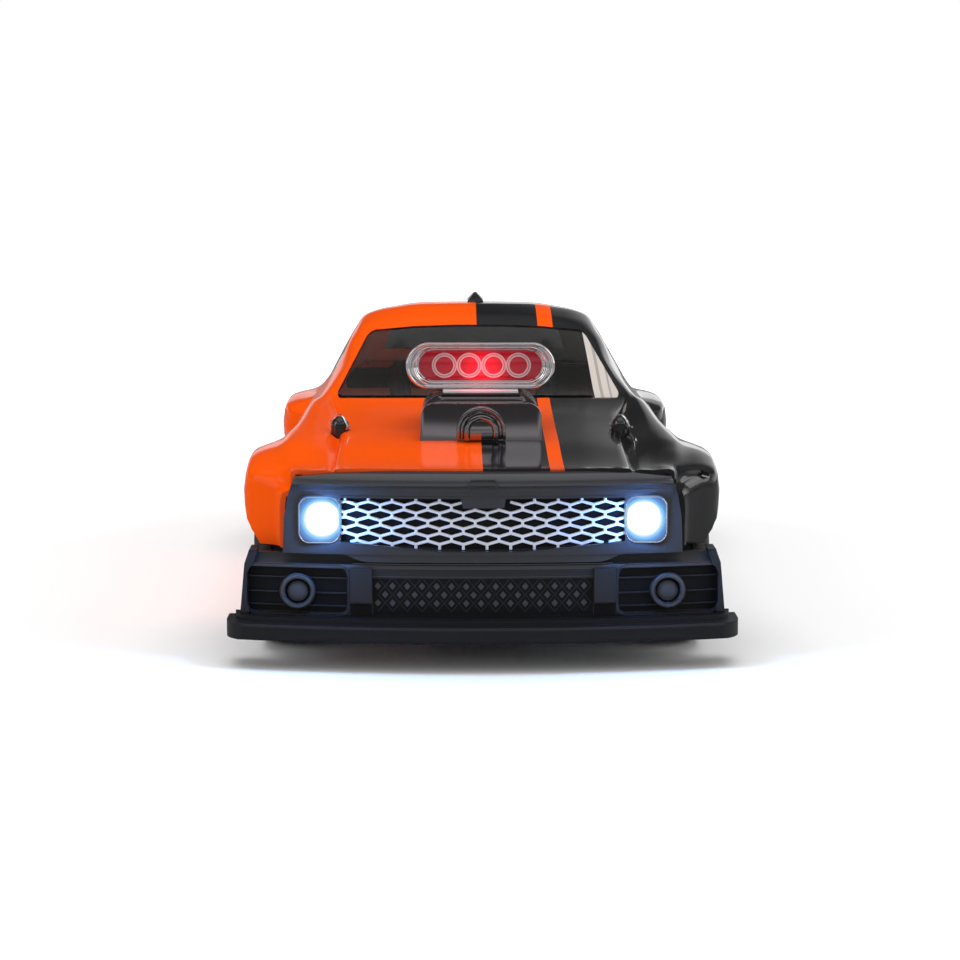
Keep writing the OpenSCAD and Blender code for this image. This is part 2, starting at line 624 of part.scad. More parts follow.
module chassis_tub() {
    color("dimgray") {
        difference() {
            union() {
                translate([0, 0, tub_z]) linear_extrude(floor_t) polygon([[-19, -124], [19, -124], [15, -108],
                    [15, fa + 12], [tub_half, fa + 30], [tub_half, ra - 34], [15, ra - 20], [15, ra + 16],
                    [19, ra + 32], [-19, ra + 32], [-15, ra + 16], [-15, ra - 20], [-tub_half, ra - 34],
                    [-tub_half, fa + 30], [-15, fa + 12], [-15, -108]]);
                for (s = [-1, 1]) translate([s * (tub_half - 0.9), (fa + ra) / 2, tub_z + 4.5])
                    cube([1.8, ra - fa - 66, 9], center = true);
                translate([-battery_w - 6.6, -battery_l / 2 - 3.2, tub_z]) cube([battery_w + 4, 2.4, 9]);
                translate([-battery_w - 6.6, battery_l / 2 + 0.8, tub_z]) cube([battery_w + 4, 2.4, 9]);
                translate([-3.6, -battery_l / 2, tub_z]) cube([1.6, battery_l, 9]);
            }
            translate([gear_x - 0.7, ra - 8, tub_z - 1]) cube([gear_w + 1.4, 16, 6]);
            for (i = [0:4]) translate([10 - 2, -32 + i * 9, tub_z - 1]) cube([12, 4, 1.8]);
        }
        for (a = axles) for (s = [-1, 1]) at_corner(s, a) arm_bosses();
    }
}
module link_ears(x0) {
    for (w = [-1.8, 3.3]) difference() {
        union() {
            pin_y(arm_in, w, w + 1.5, link_z, 2.3);
            translate([x0, w, link_z - 2.3]) cube([arm_in - x0, 1.5, 4.6]);
        }
    }
    pin_y(arm_in, -1.8, 4.8, link_z, pin_r);
}
tower_w = -15.5;
guide_w = [9.2, 17.8];
module front_bulkhead() {
    color("gray") {
        difference() {
            translate([-11, fa + tower_w, floor_z + 0.05]) cube([22, 24.3, 23]);
            translate([-8.5, fa + tower_w + 3, floor_z + 4]) cube([17, 18, 30]);
            for (i = [0, 1]) translate([-20, fa + tower_w + 5 + i * 9, floor_z + 5]) cube([40, 6, 9]);
        }
        for (s = [-1, 1]) at_corner(s, fa) link_ears(10);
        for (s = [-1, 1]) translate([s * 9.5 - 1.5, fa + 8.7, floor_z + 0.05]) cube([3, 9.1, bar_z - floor_z - 0.35]);
    }
}
gear_x = -5;
pitch_r = spur_teeth * gear_module / 2;
pinion_r = pinion_teeth * gear_module / 2;
gear_gap = pitch_r + pinion_r;
motor_rise = 3;
motor_y = ra - sqrt(gear_gap * gear_gap - motor_rise * motor_rise);
motor_z = axle_z + motor_rise;
journal_r = 3;
plate_x = gear_x + gear_w + 0.9;
module gearbox() {
    color("gray") {
        difference() {
            union() {
                translate([-8, ra - 10, floor_z + 0.05]) cube([16, 25.5, 26]);
                translate([plate_x, motor_y - motor_d / 2, floor_z + 0.05]) cube([2.2, motor_d, motor_z + motor_d / 2 - floor_z - 1]);
                translate([plate_x, motor_y, floor_z + 0.05]) cube([2.2, ra - motor_y - 4, 20]);
            }
            translate([gear_x - 0.6, ra, axle_z]) rotate([0, 90, 0]) cylinder(r = pitch_r + 1, h = gear_w + 1.2, $fn = 64);
            translate([gear_x - 0.6, ra - 30, axle_z - 7]) cube([gear_w + 1.2, 26, 30]);
            translate([-20, ra, axle_z]) rotate([0, 90, 0]) cylinder(r = journal_r + 0.05, h = 40, $fn = 32);
            translate([plate_x - 5, motor_y, motor_z]) rotate([0, 90, 0]) cylinder(r = 3.1, h = 20, $fn = 32);
            translate([plate_x + 2.15, ra - 16, floor_z - 1]) cube([10, 11.8, 60]);
            translate([2.6, ra + 4, floor_z + 14]) cube([10, 9, 8]);
        }
        for (s = [-1, 1]) at_corner(s, ra) link_ears(7.9);
    }
}
shock_x = 24;
shock_z = 44;
foot_x = 27.5;
foot_z = 18.4;
shock_w = -9.5;
module shock_towers() {
    color("dimgray") for (a = axles) {
        at_corner(1, a) difference() {
            translate([0, tower_w, 0]) rotate([90, 0, 0]) linear_extrude(2.5) polygon([[-27, 47], [-21, 47],
                [-15, 40], [15, 40], [21, 47], [27, 47], [27, 41], [17, 25], [10.8, 19], [-10.8, 19], [-17, 25], [-27, 41]]);
            for (s = [-1, 1]) pin_y(s * 9, tower_w - 4, tower_w + 1, 35.8, 1.6);
        }
        for (s = [-1, 1]) at_corner(s, a) pin_y(shock_x, tower_w - 0.1, shock_w + 2.4, shock_z, pin_r);
    }
}
mount_z = 46.6;
module body_mounts() {
    color("gray") {
        for (s = [-1, 1]) translate([s * 15 - 2.5, front_post_y + 3, floor_z + 0.05]) cube([5, 5.5, mount_z - floor_z + 0.1]);
        translate([0, front_post_y, mount_z]) linear_extrude(2.8) polygon([[-42.5, -3], [-38, -4.2], [38, -4.2], [42.5, -3],
            [42.5, 3], [38, 4.2], [18, 8.5], [-18, 8.5], [-38, 4.2], [-42.5, 3]]);
        for (s = [-1, 1]) translate([s * 9 - 3, ra - tower_w + 2.55, 33]) cube([6, rear_post_y - ra + tower_w, 4]);
        translate([-29, rear_post_y - 3.5, 36.9]) cube([58, 7, 3]);
    }
}
module post(z0, z1, seat) {
    translate([0, 0, z0]) cylinder(r = post_r, h = z1 - z0 - post_r, $fn = 32);
    translate([0, 0, z1 - post_r]) sphere(r = post_r, $fn = 32);
    translate([0, 0, z0]) cylinder(r = 4, h = seat - z0, $fn = 32);
}
front_post_top = guide(roof_rim, front_post_y) + 5.6;
rear_post_top = guide(roof_rim, rear_post_y) + 6.4;
clip_up = 2.6;
clip_turn = -50;
module body_posts() {
    color("black") for (p = post_spots) translate([p[0], p[1], 0]) {
        front = p[1] < 0;
        top = front ? front_post_top : rear_post_top;
        difference() {
            post(front ? mount_z + 2.85 : 39.95, top, top - (front ? 7.5 : 8.6));
            translate([0, 0, top - clip_up]) rotate([0, 90, clip_turn]) cylinder(r = 0.75, h = 20, center = true, $fn = 20);
        }
    }
}
module clip() {
    wire_r = 0.5;
    loop_r = 1.6;
    over_r = post_r + wire_r + 0.12;
    centre = clip_up - post_r;
    rotate([0, 90, 0]) cylinder(r = wire_r, h = 9.4, center = true, $fn = 16);
    translate([-4.7, 0, loop_r]) rotate([90, 90, 0]) rotate_extrude(angle = 180, $fn = 32)
        translate([loop_r, 0]) circle(r = wire_r, $fn = 16);
    translate([0, 0, centre]) rotate([90, 0, 0]) rotate([0, 0, 35]) rotate_extrude(angle = 57, $fn = 48)
        translate([over_r, 0]) circle(r = wire_r, $fn = 16);
    translate([-4.7, 0, 2 * loop_r]) rotate([0, 90, 0]) cylinder(r = wire_r, h = 4.8, $fn = 16);
    translate([over_r * cos(35), 0, centre + over_r * sin(35)]) {
        sphere(r = wire_r + 0.04, $fn = 16);
        rotate([0, 60, 0]) cylinder(r = wire_r, h = 2, $fn = 16);
    }
}
module body_clips() {
    color("silver") for (p = post_spots)
        translate([p[0], p[1], (p[1] < 0 ? front_post_top : rear_post_top) - clip_up]) rotate([0, 0, clip_turn]) clip();
}
tail_end = tail_y + bumper_past_tail;
module rear_bumper() {
    color("dimgray") {
        difference() {
            translate([0, tail_end - 28, 0]) linear_extrude(25.6) polygon([[-52, 6], [-46, 28], [46, 28], [52, 6], [49, 6],
                [43.4, 25.4], [-43.4, 25.4], [-49, 6]]);
            translate([-60, ra, -1]) cube([120, 80, 11]);
        }
        for (i = [-2:2]) translate([i * 12 - 0.9, tail_y - 18, 10.05]) cube([1.8, tail_end - tail_y + 16, 9]);
        translate([-34, ra + 30.6, floor_z + 0.05]) cube([68, tail_end - ra - 33, 2.2]);
    }
}

// Moving corners, drawn for the front left one: u outward, w back towards the middle.
module lower_arm() {
    color("dimgray") difference() {
        union() {
            pin_y(arm_in, -11, 6, arm_z, 2.2);
            pin_y(arm_in, boss_front - 2.5, boss_rear + 2, arm_z, pin_r);
            translate([0, 0, arm_z - 1.5]) linear_extrude(3) polygon([[arm_in, -11], [25, -12.2], [30, -12.2],
                [arm_out - 2.6, -7.6], [arm_out - 2.6, 7.6], [27, 6.6], [arm_in, 6]]);
            for (w = [-7.6, 5]) pin_y(arm_out, w, w + 2.6, arm_z, 2.4);
            for (w = [-7.6, 5]) translate([arm_out - 3, w, arm_z - 1.5]) cube([3, 2.6, 3]);
            for (w = [-12.2, -8]) translate([foot_x - 2, w, arm_z - 1.5]) cube([4, 1.2, foot_z - arm_z + 3.2]);
            pin_y(foot_x, -12.2, -6.8, foot_z, 1);
        }
        pin_y(arm_out, -8, 8, arm_z, eye_r);
        translate([arm_in + 3.4, -7.5, 0]) linear_extrude(40) polygon([[0, 0], [5, 0], [8.2, 3.6], [8.2, 10.4], [0, 10.8]]);
        translate([arm_out - 4.6, -4.9, 0]) cube([8, 9.8, 40]);
        translate([foot_x - 3, -11, arm_z + 0.9]) cube([6, 3, 3]);
    }
}
module arm_barrel() {
    pin_y(arm_out, -4.7, 4.7, arm_z, 2.2);
    pin_y(arm_out, -7.6, 7.6, arm_z, pin_r);
}
module carrier_fork(z0) {
    for (w = [-1.8, 3.3]) {
        pin_y(arm_out, w, w + 1.5, link_z, 2.2);
        translate([arm_out - 2.2, w, z0]) cube([4.4, 1.5, link_z - z0]);
    }
    pin_y(arm_out, -1.8, 4.8, link_z, pin_r);
}
king_low = arm_z + 4.2;
king_high = link_z - 4.6;
module c_hub() {
    color("gray") {
        arm_barrel();
        difference() {
            union() {
                translate([arm_out - 2, -4, arm_z]) cube([4, 8, 3]);
                translate([arm_out - 3.4, -3.4, arm_z + 1.6]) cube([2.2, 6.8, king_high + 2 - arm_z - 1.6]);
                for (z = [king_low - 2.6, king_high]) translate([0, 0, z]) {
                    translate([arm_out - 3.4, -3.4, 0]) cube([king_x - arm_out + 3.4, 6.8, z < 20 ? 2.6 : 2]);
                    translate([king_x, 0, 0]) cylinder(r = 3.4, h = z < 20 ? 2.6 : 2, $fn = 32);
                }
                carrier_fork(king_high + 0.5);
            }
            translate([king_x, 0, 0]) cylinder(r = eye_r, h = 60, $fn = 24);
        }
    }
}
module rear_upright() {
    color("gray") {
        arm_barrel();
        difference() {
            union() {
                translate([arm_out - 2, -4, arm_z]) cube([4.4, 8, 4.6]);
                translate([arm_out + 1.5, 0, axle_z]) rotate([0, 90, 0]) cylinder(r = 5.2, h = 4.2, $fn = 40);
                translate([arm_out - 2.2, -1.8, axle_z + 4.4]) cube([7.2, 6.6, 2]);
            }
            translate([20, 0, axle_z]) rotate([0, 90, 0]) cylinder(r = journal_r + 0.05, h = 30, $fn = 32);
            translate([arm_out - 4, 0, axle_z]) rotate([0, 90, 0]) cylinder(r = 4.2, h = 5.5, $fn = 32);
        }
        carrier_fork(axle_z + 4.4);
    }
}
stub_r = 2.2;
module knuckle() {
    color("silver") {
        translate([king_x, 0, king_low + side_play]) cylinder(r = 3.3, h = king_high - king_low - 2 * side_play, $fn = 32);
        translate([king_x, 0, king_low - 2.6]) cylinder(r = pin_r, h = king_high - king_low + 4.6, $fn = 24);
        translate([king_x, 0, axle_z]) rotate([0, 90, 0]) cylinder(r = 3.2, h = hub_in - king_x - side_play, $fn = 32);
        translate([king_x, 0, axle_z]) rotate([0, 90, 0]) cylinder(r = stub_r, h = hub_out + 2 - king_x, $fn = 32);
        translate([hub_out + side_play, 0, axle_z]) rotate([0, 90, 0]) cylinder(r = 3.6, h = 2.2, $fn = 6);
        translate([king_x - 2, 2, axle_z + 0.8]) cube([4, steer_r - 2, 2.8]);
        translate([king_x, steer_r, axle_z + 0.8]) cylinder(r = 2.2, h = 2.8, $fn = 24);
        translate([king_x, steer_r, axle_z + 0.8]) cylinder(r = pin_r, h = bar_z + bar_t + 3.4 - axle_z - 0.8, $fn = 24);
    }
}
hub_in = wheel_x - 9;
hub_out = wheel_x + 8.5;
module rim() {
    color("gainsboro") translate([wheel_x, 0, axle_z]) rotate([0, 90, 0]) {
        rotate_extrude($fn = 48) polygon([[rim_d / 2 - 1.4, -tyre_w / 2 - 0.6], [rim_d / 2 + 0.7, -tyre_w / 2 - 0.6],
            [rim_d / 2 + 0.7, -tyre_w / 2 - 0.02], [rim_d / 2, -tyre_w / 2 - 0.02], [rim_d / 2, tyre_w / 2 + 0.02],
            [rim_d / 2 + 0.7, tyre_w / 2 + 0.02], [rim_d / 2 + 0.7, tyre_w / 2 + 0.6], [rim_d / 2 - 1.4, tyre_w / 2 + 0.6]]);
        difference() {
            union() {
                translate([0, 0, 4]) cylinder(r = 4.6, h = 4.4, $fn = 40);
                translate([0, 0, hub_in - wheel_x]) cylinder(r = 3.8, h = hub_out - hub_in, $fn = 32);
                for (i = [0:spokes - 1]) rotate([0, 0, i * 360 / spokes]) translate([0, 0, 5]) linear_extrude(2.8)
                    polygon([[3, -2.6], [rim_d / 2 - 1, -1.5], [rim_d / 2 - 1, 1.5], [3, 2.6]]);
            }
            translate([0, 0, -20]) cylinder(r = stub_r + 0.08, h = 40, $fn = 32);
        }
    }
}
module tyre() {
    color("black") translate([wheel_x, 0, axle_z]) rotate([0, 90, 0]) rotate_extrude($fn = 64)
        polygon([[rim_d / 2 + 0.02, -tyre_w / 2], [tyre_d / 2 - 3.4, -tyre_w / 2], [tyre_d / 2 - 1.2, -tyre_w / 2 + 0.9],
            [tyre_d / 2, -tyre_w / 2 + 3.2], [tyre_d / 2, tyre_w / 2 - 3.2], [tyre_d / 2 - 1.2, tyre_w / 2 - 0.9],
            [tyre_d / 2 - 3.4, tyre_w / 2], [rim_d / 2 + 0.02, tyre_w / 2]]);
}
module cup(u0, u1, open_end) {
    x = open_end > 0 ? u0 + 0.8 : u0 - 1;
    translate([0, 0, axle_z]) rotate([0, 90, 0]) difference() {
        translate([0, 0, u0]) cylinder(r = 3.6, h = u1 - u0, $fn = 32);
        translate([0, 0, x]) cylinder(r = 2.7, h = u1 - u0 + 0.2, $fn = 32);
        translate([-1.2, -5, open_end > 0 ? x + 1.2 : x - 0.2]) cube([2.4, 10, u1 - u0 - 0.8]);
    }
}
module wheel_axle() {
    color("silver") {
        cup(28.6, arm_out + 1.4, -1);
        translate([arm_out + 1.3, 0, axle_z]) rotate([0, 90, 0]) cylinder(r = journal_r, h = hub_in - arm_out - 1.3, $fn = 32);
        translate([arm_out + 1.3, 0, axle_z]) rotate([0, 90, 0]) cylinder(r = stub_r + 0.06, h = hub_out + 2 - arm_out - 1.3, $fn = 32);
        translate([hub_out + 0.02, 0, axle_z]) rotate([0, 90, 0]) cylinder(r = 3.6, h = 2.2, $fn = 6);
    }
}
// Ball centres of the half shafts; both ends slide in their cups as the arm swings.
shaft_in = 12.5;
shaft_l = arm_out - 3 - shaft_in;
module half_shaft() {
    color("silver") {
        translate([shaft_in, 0, axle_z]) rotate([0, 90, 0]) rotate_extrude($fn = 32) polygon(concat(
            [[0, -2]], [for (a = [30:30:120]) [2 * sin(a), -2 * cos(a)]], [[1.3, 1.52], [1.3, shaft_l - 1.52]],
            [for (a = [60:30:150]) [2 * sin(a), shaft_l - 2 * cos(a)]], [[0, shaft_l + 2]]));
        for (x = [0, shaft_l]) translate([shaft_in + x, 0, axle_z]) rotate([90, 0, 0])
            cylinder(r = 0.6, h = 5.2, center = true, $fn = 16);
    }
}
module upper_link() {
    color("dimgray") difference() {
        union() {
            for (x = [arm_in, arm_out]) pin_y(x, 0, 3, link_z, 2.1);
            translate([arm_in, 1.5, link_z]) rotate([0, 90, 0]) cylinder(r = 1.3, h = arm_len, $fn = 24);
        }
        for (x = [arm_in, arm_out]) pin_y(x, -1, 4, link_z, eye_r);
    }
}
shock_l = norm([foot_x - shock_x, shock_z - foot_z]);
shock_a = atan2(foot_x - shock_x, shock_z - foot_z);
damper_r = damper_d / 2;
// Draws a child that hangs down -Z from the upper damper pin, on the damper's line.
module on_damper() { translate([shock_x, shock_w, shock_z]) rotate([0, -shock_a, 0]) children(); }
module shock_cylinder() {
    color("silver") on_damper() difference() {
        union() {
            pin_y(0, -1.5, 1.5, 0, 2.2);
            translate([0, 0, -15]) cylinder(r = damper_r, h = 12.6, $fn = 32);
            translate([0, 0, -5]) cylinder(r = damper_r + 1.5, h = 1, $fn = 32);
            translate([0, 0, -3]) cylinder(r = 1.7, h = 3, $fn = 24);
        }
        pin_y(0, -3, 3, 0, eye_r);
        translate([0, 0, -16]) cylinder(r = 1.6, h = 10, $fn = 24);
    }
}
module shock_rod() {
    color("gainsboro") on_damper() difference() {
        union() {
            pin_y(0, -1.3, 1.3, -shock_l, 2.1);
            translate([0, 0, -shock_l]) cylinder(r = 1.1, h = shock_l - 9, $fn = 24);
            translate([0, 0, -shock_l + 3.2]) cylinder(r = damper_r + 1.5, h = 1, $fn = 32);
        }
        pin_y(0, -3, 3, -shock_l, 1.05);
    }
}
// Open coil: one tube swept along a helix, with its ends on the two collars.
module coil(r, wire, turns, h) {
    per = 12;
    n = per * turns;
    polyhedron([for (i = [0:n]) for (j = [0:5]) let (a = i * 360 / per, b = j * 60, q = r + wire / 2 * cos(b))
            [q * cos(a), q * sin(a), i / n * (h - wire) + wire / 2 * (1 + sin(b))]],
        concat([for (i = [0:n - 1]) for (j = [0:5]) for (f = [0, 1]) let (k = (j + 1) % 6)
                f == 0 ? [i * 6 + j, (i + 1) * 6 + k, i * 6 + k] : [i * 6 + j, (i + 1) * 6 + j, (i + 1) * 6 + k]],
               [[for (j = [0:5]) j], [for (j = [5:-1:0]) n * 6 + j]]));
}
spring_l = shock_l - 4.2 - 5;
module coil_springs() {
    color("red") for (a = axles) for (s = [-1, 1]) at_corner(s, a) on_damper()
        translate([0, 0, -5 - spring_l + 0.03]) coil(spring_d / 2, wire_d, spring_turns, spring_l - 0.06);
}
echo(spring_gap = (spring_l - wire_d) / spring_turns - wire_d);

// Steering: sliding drag bar, servo and its horn.
slot_r = pin_r + 0.35;
slot_w = [steer_r - 1.4, steer_r];
function slot(x) = x == 0 ? [steer_r, steer_r + 1.4] : slot_w;
module drag_bar() {
    color("dimgray") translate([0, fa, bar_z]) difference() {
        union() {
            translate([-king_x, slot_w[0] - 1, 0]) cube([2 * king_x, slot_w[1] - slot_w[0] + 2, bar_t]);
            for (x = [-king_x, 0, king_x]) for (w = slot(x)) translate([x, w, 0]) cylinder(r = slot_r + 1.2, h = bar_t, $fn = 24);
        }
        for (x = [-king_x, 0, king_x]) {
            for (w = slot(x)) translate([x, w, -1]) cylinder(r = slot_r, h = bar_t + 2, $fn = 24);
            translate([x - slot_r, slot(x)[0], -1]) cube([2 * slot_r, slot_w[1] - slot_w[0], bar_t + 2]);
        }
    }
}
horn_y = fa + 2 * steer_r;
module steering_servo() {
    color("black") {
        translate([-6, horn_y - 6.5, floor_z + 0.05]) cube([12, 24, bar_z - floor_z - 1]);
        translate([-6, horn_y - 8.4, floor_z + 12]) cube([12, 27.8, 1.6]);
        translate([0, horn_y, bar_z - 1]) cylinder(r = 4, h = 2.4, $fn = 32);
    }
}
horn_z = bar_z + bar_t + 0.6;
module servo_horn() {
    color("white") {
        translate([0, horn_y, horn_z]) cylinder(r = 3.4, h = 2.4, $fn = 32);
        translate([-1.9, horn_y - steer_r, horn_z]) cube([3.8, steer_r, 1.8]);
        translate([0, horn_y - steer_r, horn_z]) cylinder(r = 2.2, h = 1.8, $fn = 24);
        translate([0, horn_y - steer_r, bar_z - 1]) cylinder(r = pin_r, h = horn_z - bar_z + 1.5, $fn = 24);
        translate([0, horn_y, bar_z + 1.45]) cylinder(r = 2, h = 1.5, $fn = 24);
    }
}

// Gears: straight teeth, thinner at the tip.
module gear(teeth, width, start) {
    r = teeth * gear_module / 2;
    step = 360 / teeth;
    rotate([90, 0, 90]) linear_extrude(width) polygon([for (i = [0:teeth - 1]) for (k = [0:3])
        let (q = k == 0 || k == 3 ? r - 0.9 * gear_module : r + 0.5 * gear_module,
             a = start + i * step + [-0.31, -0.11, 0.11, 0.31][k] * step)
        [q * cos(a), q * sin(a)]]);
}
mesh_angle = atan2(motor_z - axle_z, motor_y - ra);
module axle_gear() {
    color("white") {
        translate([gear_x, ra, axle_z]) gear(spur_teeth, gear_w, mesh_angle);
        translate([-8.6, ra, axle_z]) rotate([0, 90, 0]) cylinder(r = journal_r, h = 17.2, $fn = 32);
    }
    color("silver") translate([0, ra, 0]) {
        cup(8.5, 14.6, 1);
        mirror([1, 0, 0]) cup(8.5, 14.6, 1);
    }
}
module motor() {
    color("silver") translate([plate_x + 2.2, motor_y, motor_z]) rotate([0, 90, 0]) difference() {
        union() {
            cylinder(r = motor_d / 2, h = motor_l, $fn = 48);
            translate([0, 0, -2]) cylinder(r = 3, h = 3, $fn = 32);
            translate([0, 0, motor_l - 0.1]) cylinder(r = 4, h = 1.6, $fn = 32);
        }
        translate([0, 0, -3]) cylinder(r = 1.15, h = motor_l, $fn = 24);
    }
}
module motor_pinion() {
    color("gold") translate([gear_x, motor_y, motor_z]) {
        gear(pinion_teeth, gear_w, mesh_angle + 180 + 180 / pinion_teeth);
        rotate([0, 90, 0]) cylinder(r = 1.1, h = 20, $fn = 24);
    }
}
module battery_pack() {
    color("navy") translate([-4.2 - battery_w, -battery_l / 2 + 0.1, floor_z + 0.05]) difference() {
        cube([battery_w, battery_l - 0.2, battery_h]);
        for (i = [1:2]) translate([-1, i * battery_l / 3, battery_h - 0.5]) cube([battery_w + 2, 1, 1]);
    }
}
module receiver_esc() {
    color("black") translate([4, -38, floor_z + 0.05]) {
        cube([17, 34, 11]);
        for (i = [0:6]) translate([1.2 + i * 2.2, 4, 10.9]) cube([1, 26, 3]);
    }
}

module driven_rim() {
    rim();
    wheel_axle();
}

// The four corners: f front, r rear, then l the car's left (+X), r its right.
module lower_arm_fl() { at_corner(1, fa) lower_arm(); }
module lower_arm_fr() { at_corner(-1, fa) lower_arm(); }
module lower_arm_rl() { at_corner(1, ra) lower_arm(); }
module lower_arm_rr() { at_corner(-1, ra) lower_arm(); }
module c_hub_fl() { at_corner(1, fa) c_hub(); }
module c_hub_fr() { at_corner(-1, fa) c_hub(); }
module rear_upright_rl() { at_corner(1, ra) rear_upright(); }
module rear_upright_rr() { at_corner(-1, ra) rear_upright(); }
module knuckle_fl() { at_corner(1, fa) knuckle(); }
module knuckle_fr() { at_corner(-1, fa) knuckle(); }
module rim_fl() { at_corner(1, fa) rim(); }
module rim_fr() { at_corner(-1, fa) rim(); }
module rim_rl() { at_corner(1, ra) driven_rim(); }
module rim_rr() { at_corner(-1, ra) driven_rim(); }
module tyre_fl() { at_corner(1, fa) tyre(); }
module tyre_fr() { at_corner(-1, fa) tyre(); }
module tyre_rl() { at_corner(1, ra) tyre(); }
module tyre_rr() { at_corner(-1, ra) tyre(); }
module half_shaft_rl() { at_corner(1, ra) half_shaft(); }
module half_shaft_rr() { at_corner(-1, ra) half_shaft(); }
module upper_link_fl() { at_corner(1, fa) upper_link(); }
module upper_link_fr() { at_corner(-1, fa) upper_link(); }
module upper_link_rl() { at_corner(1, ra) upper_link(); }
module upper_link_rr() { at_corner(-1, ra) upper_link(); }
module shock_cylinder_fl() { at_corner(1, fa) shock_cylinder(); }
module shock_cylinder_fr() { at_corner(-1, fa) shock_cylinder(); }
module shock_cylinder_rl() { at_corner(1, ra) shock_cylinder(); }
module shock_cylinder_rr() { at_corner(-1, ra) shock_cylinder(); }
module shock_rod_fl() { at_corner(1, fa) shock_rod(); }
module shock_rod_fr() { at_corner(-1, fa) shock_rod(); }
module shock_rod_rl() { at_corner(1, ra) shock_rod(); }
module shock_rod_rr() { at_corner(-1, ra) shock_rod(); }

chassis_tub();
front_bulkhead();
gearbox();
shock_towers();
body_mounts();
motor();
steering_servo();
receiver_esc();
battery_pack();
body_shell();
windows();
front_bumper();
rear_bumper();
nose_panel();
upper_grille();
headlight_buckets();
headlight_lenses();
blower_case();
air_scoop();
scoop_lens();
body_posts();
body_clips();
roof_fin();
coil_springs();
drag_bar();
servo_horn();
axle_gear();
motor_pinion();
lower_arm_fl();
lower_arm_fr();
lower_arm_rl();
lower_arm_rr();
c_hub_fl();
c_hub_fr();
rear_upright_rl();
rear_upright_rr();
knuckle_fl();
knuckle_fr();
rim_fl();
rim_fr();
rim_rl();
rim_rr();
tyre_fl();
tyre_fr();
tyre_rl();
tyre_rr();
half_shaft_rl();
half_shaft_rr();
upper_link_fl();
upper_link_fr();
upper_link_rl();
upper_link_rr();
shock_cylinder_fl();
shock_cylinder_fr();
shock_cylinder_rl();
shock_cylinder_rr();
shock_rod_fl();
shock_rod_fr();
shock_rod_rl();
shock_rod_rr();
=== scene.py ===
# Remote-control drift car: the looks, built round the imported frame.
import json
import math
import bmesh
import bpy
import numpy as np
from mathutils import Matrix, Vector


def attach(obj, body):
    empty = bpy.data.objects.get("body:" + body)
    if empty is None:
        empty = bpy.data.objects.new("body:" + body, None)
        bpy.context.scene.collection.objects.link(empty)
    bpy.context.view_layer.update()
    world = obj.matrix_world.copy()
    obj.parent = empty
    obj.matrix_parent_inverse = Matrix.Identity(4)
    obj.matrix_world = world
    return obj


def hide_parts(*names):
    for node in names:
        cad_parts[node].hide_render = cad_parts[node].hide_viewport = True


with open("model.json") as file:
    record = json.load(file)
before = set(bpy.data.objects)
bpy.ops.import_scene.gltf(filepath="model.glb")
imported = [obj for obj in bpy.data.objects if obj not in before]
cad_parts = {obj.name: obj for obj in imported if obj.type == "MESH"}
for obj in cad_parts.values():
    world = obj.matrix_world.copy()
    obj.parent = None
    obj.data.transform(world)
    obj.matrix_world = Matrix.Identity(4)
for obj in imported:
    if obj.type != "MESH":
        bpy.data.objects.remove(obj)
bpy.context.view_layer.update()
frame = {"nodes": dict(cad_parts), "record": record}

mm = 0.001
nodeBody = {n: b for b, ns in frame["record"]["behaviour"]["bodies"].items() for n in ns}


# The camera stands where the photographer's did.
view = {"place": (-8.6, -760.0, 130.5), "down": 7.4, "aside": 0.711, "lens": 93.0}


def makeCamera():
    cam = bpy.data.cameras.new("camera")
    cam.lens = view["lens"]
    cam.sensor_width = 36
    cam.clip_start, cam.clip_end = 0.01, 100
    ob = bpy.data.objects.new("camera", cam)
    bpy.context.scene.collection.objects.link(ob)
    ob.location = Vector(view["place"]) * mm
    ob.rotation_euler = (math.radians(90 - view["down"]), 0, -math.radians(view["aside"]))
    bpy.context.scene.camera = ob


light = {
    "sky": 0.44,  # what the room gives to matt surfaces
    "top": (0, 0.05, 1.3, 1.5, 1.1, 13.0),  # place, width, length and watts of each soft lamp
    "left": (-1.1, -0.5, 0.6, 0.5, 1.0, 3.0),
    "right": (1.1, -0.5, 0.6, 0.5, 1.0, 4.0),
    "front": (0, -1.7, 0.5, 1.2, 0.3, 1.6),
    "mirrored": ("left", "right"),  # the lamps that gloss shows
    "behind": [(0.0, 0.8), (0.05, 0.8), (0.12, 0.7), (0.16, 0.08), (0.3, 0.03), (0.5, 0.03),
               (0.66, 0.12), (0.8, 0.08), (0.9, 0.9), (1.0, 1.0)],  # the room that gloss shows, by height
    "ahead": [(0.0, 0.5), (0.07, 0.4), (0.12, 0.08), (0.34, 0.06), (0.4, 0.9), (0.56, 0.9),
              (0.62, 0.4), (0.84, 0.4), (0.9, 1.0)],
    "turn": (-0.2, 0.25),  # where ahead gives way to behind
    "card": (0.02, 0.35, 0.75), "cardHeight": (0.5, 0.3),  # a pale card at the far right
    "floorHalf": 30.0, "floorTone": 0.9, "floorGlow": 0.9, "floorNear": 0.16, "floorFar": 0.75, "floorMirror": 0.38,
    "lamp": (41.6, -135.2, 38.4, 2.5), "lampColor": (0.12, 0.36, 1.0), "lampGlow": 0.05,
    "lens": (0, -79, 72.5, 4), "lensColor": (1.0, 0.03, 0.06), "lensGlow": 0.005,
}


def areaLight(name, x, y, z, w, h, power, aim=(0, 0, 0.04)):
    data = bpy.data.lights.new(name, "AREA")
    data.shape, data.size, data.size_y, data.energy = "RECTANGLE", w, h, power
    ob = bpy.data.objects.new(name, data)
    bpy.context.scene.collection.objects.link(ob)
    ob.location = (x, y, z)
    ob.rotation_euler = (Vector(aim) - Vector((x, y, z))).to_track_quat("-Z", "Y").to_euler()
    ob.visible_glossy = name in light["mirrored"]


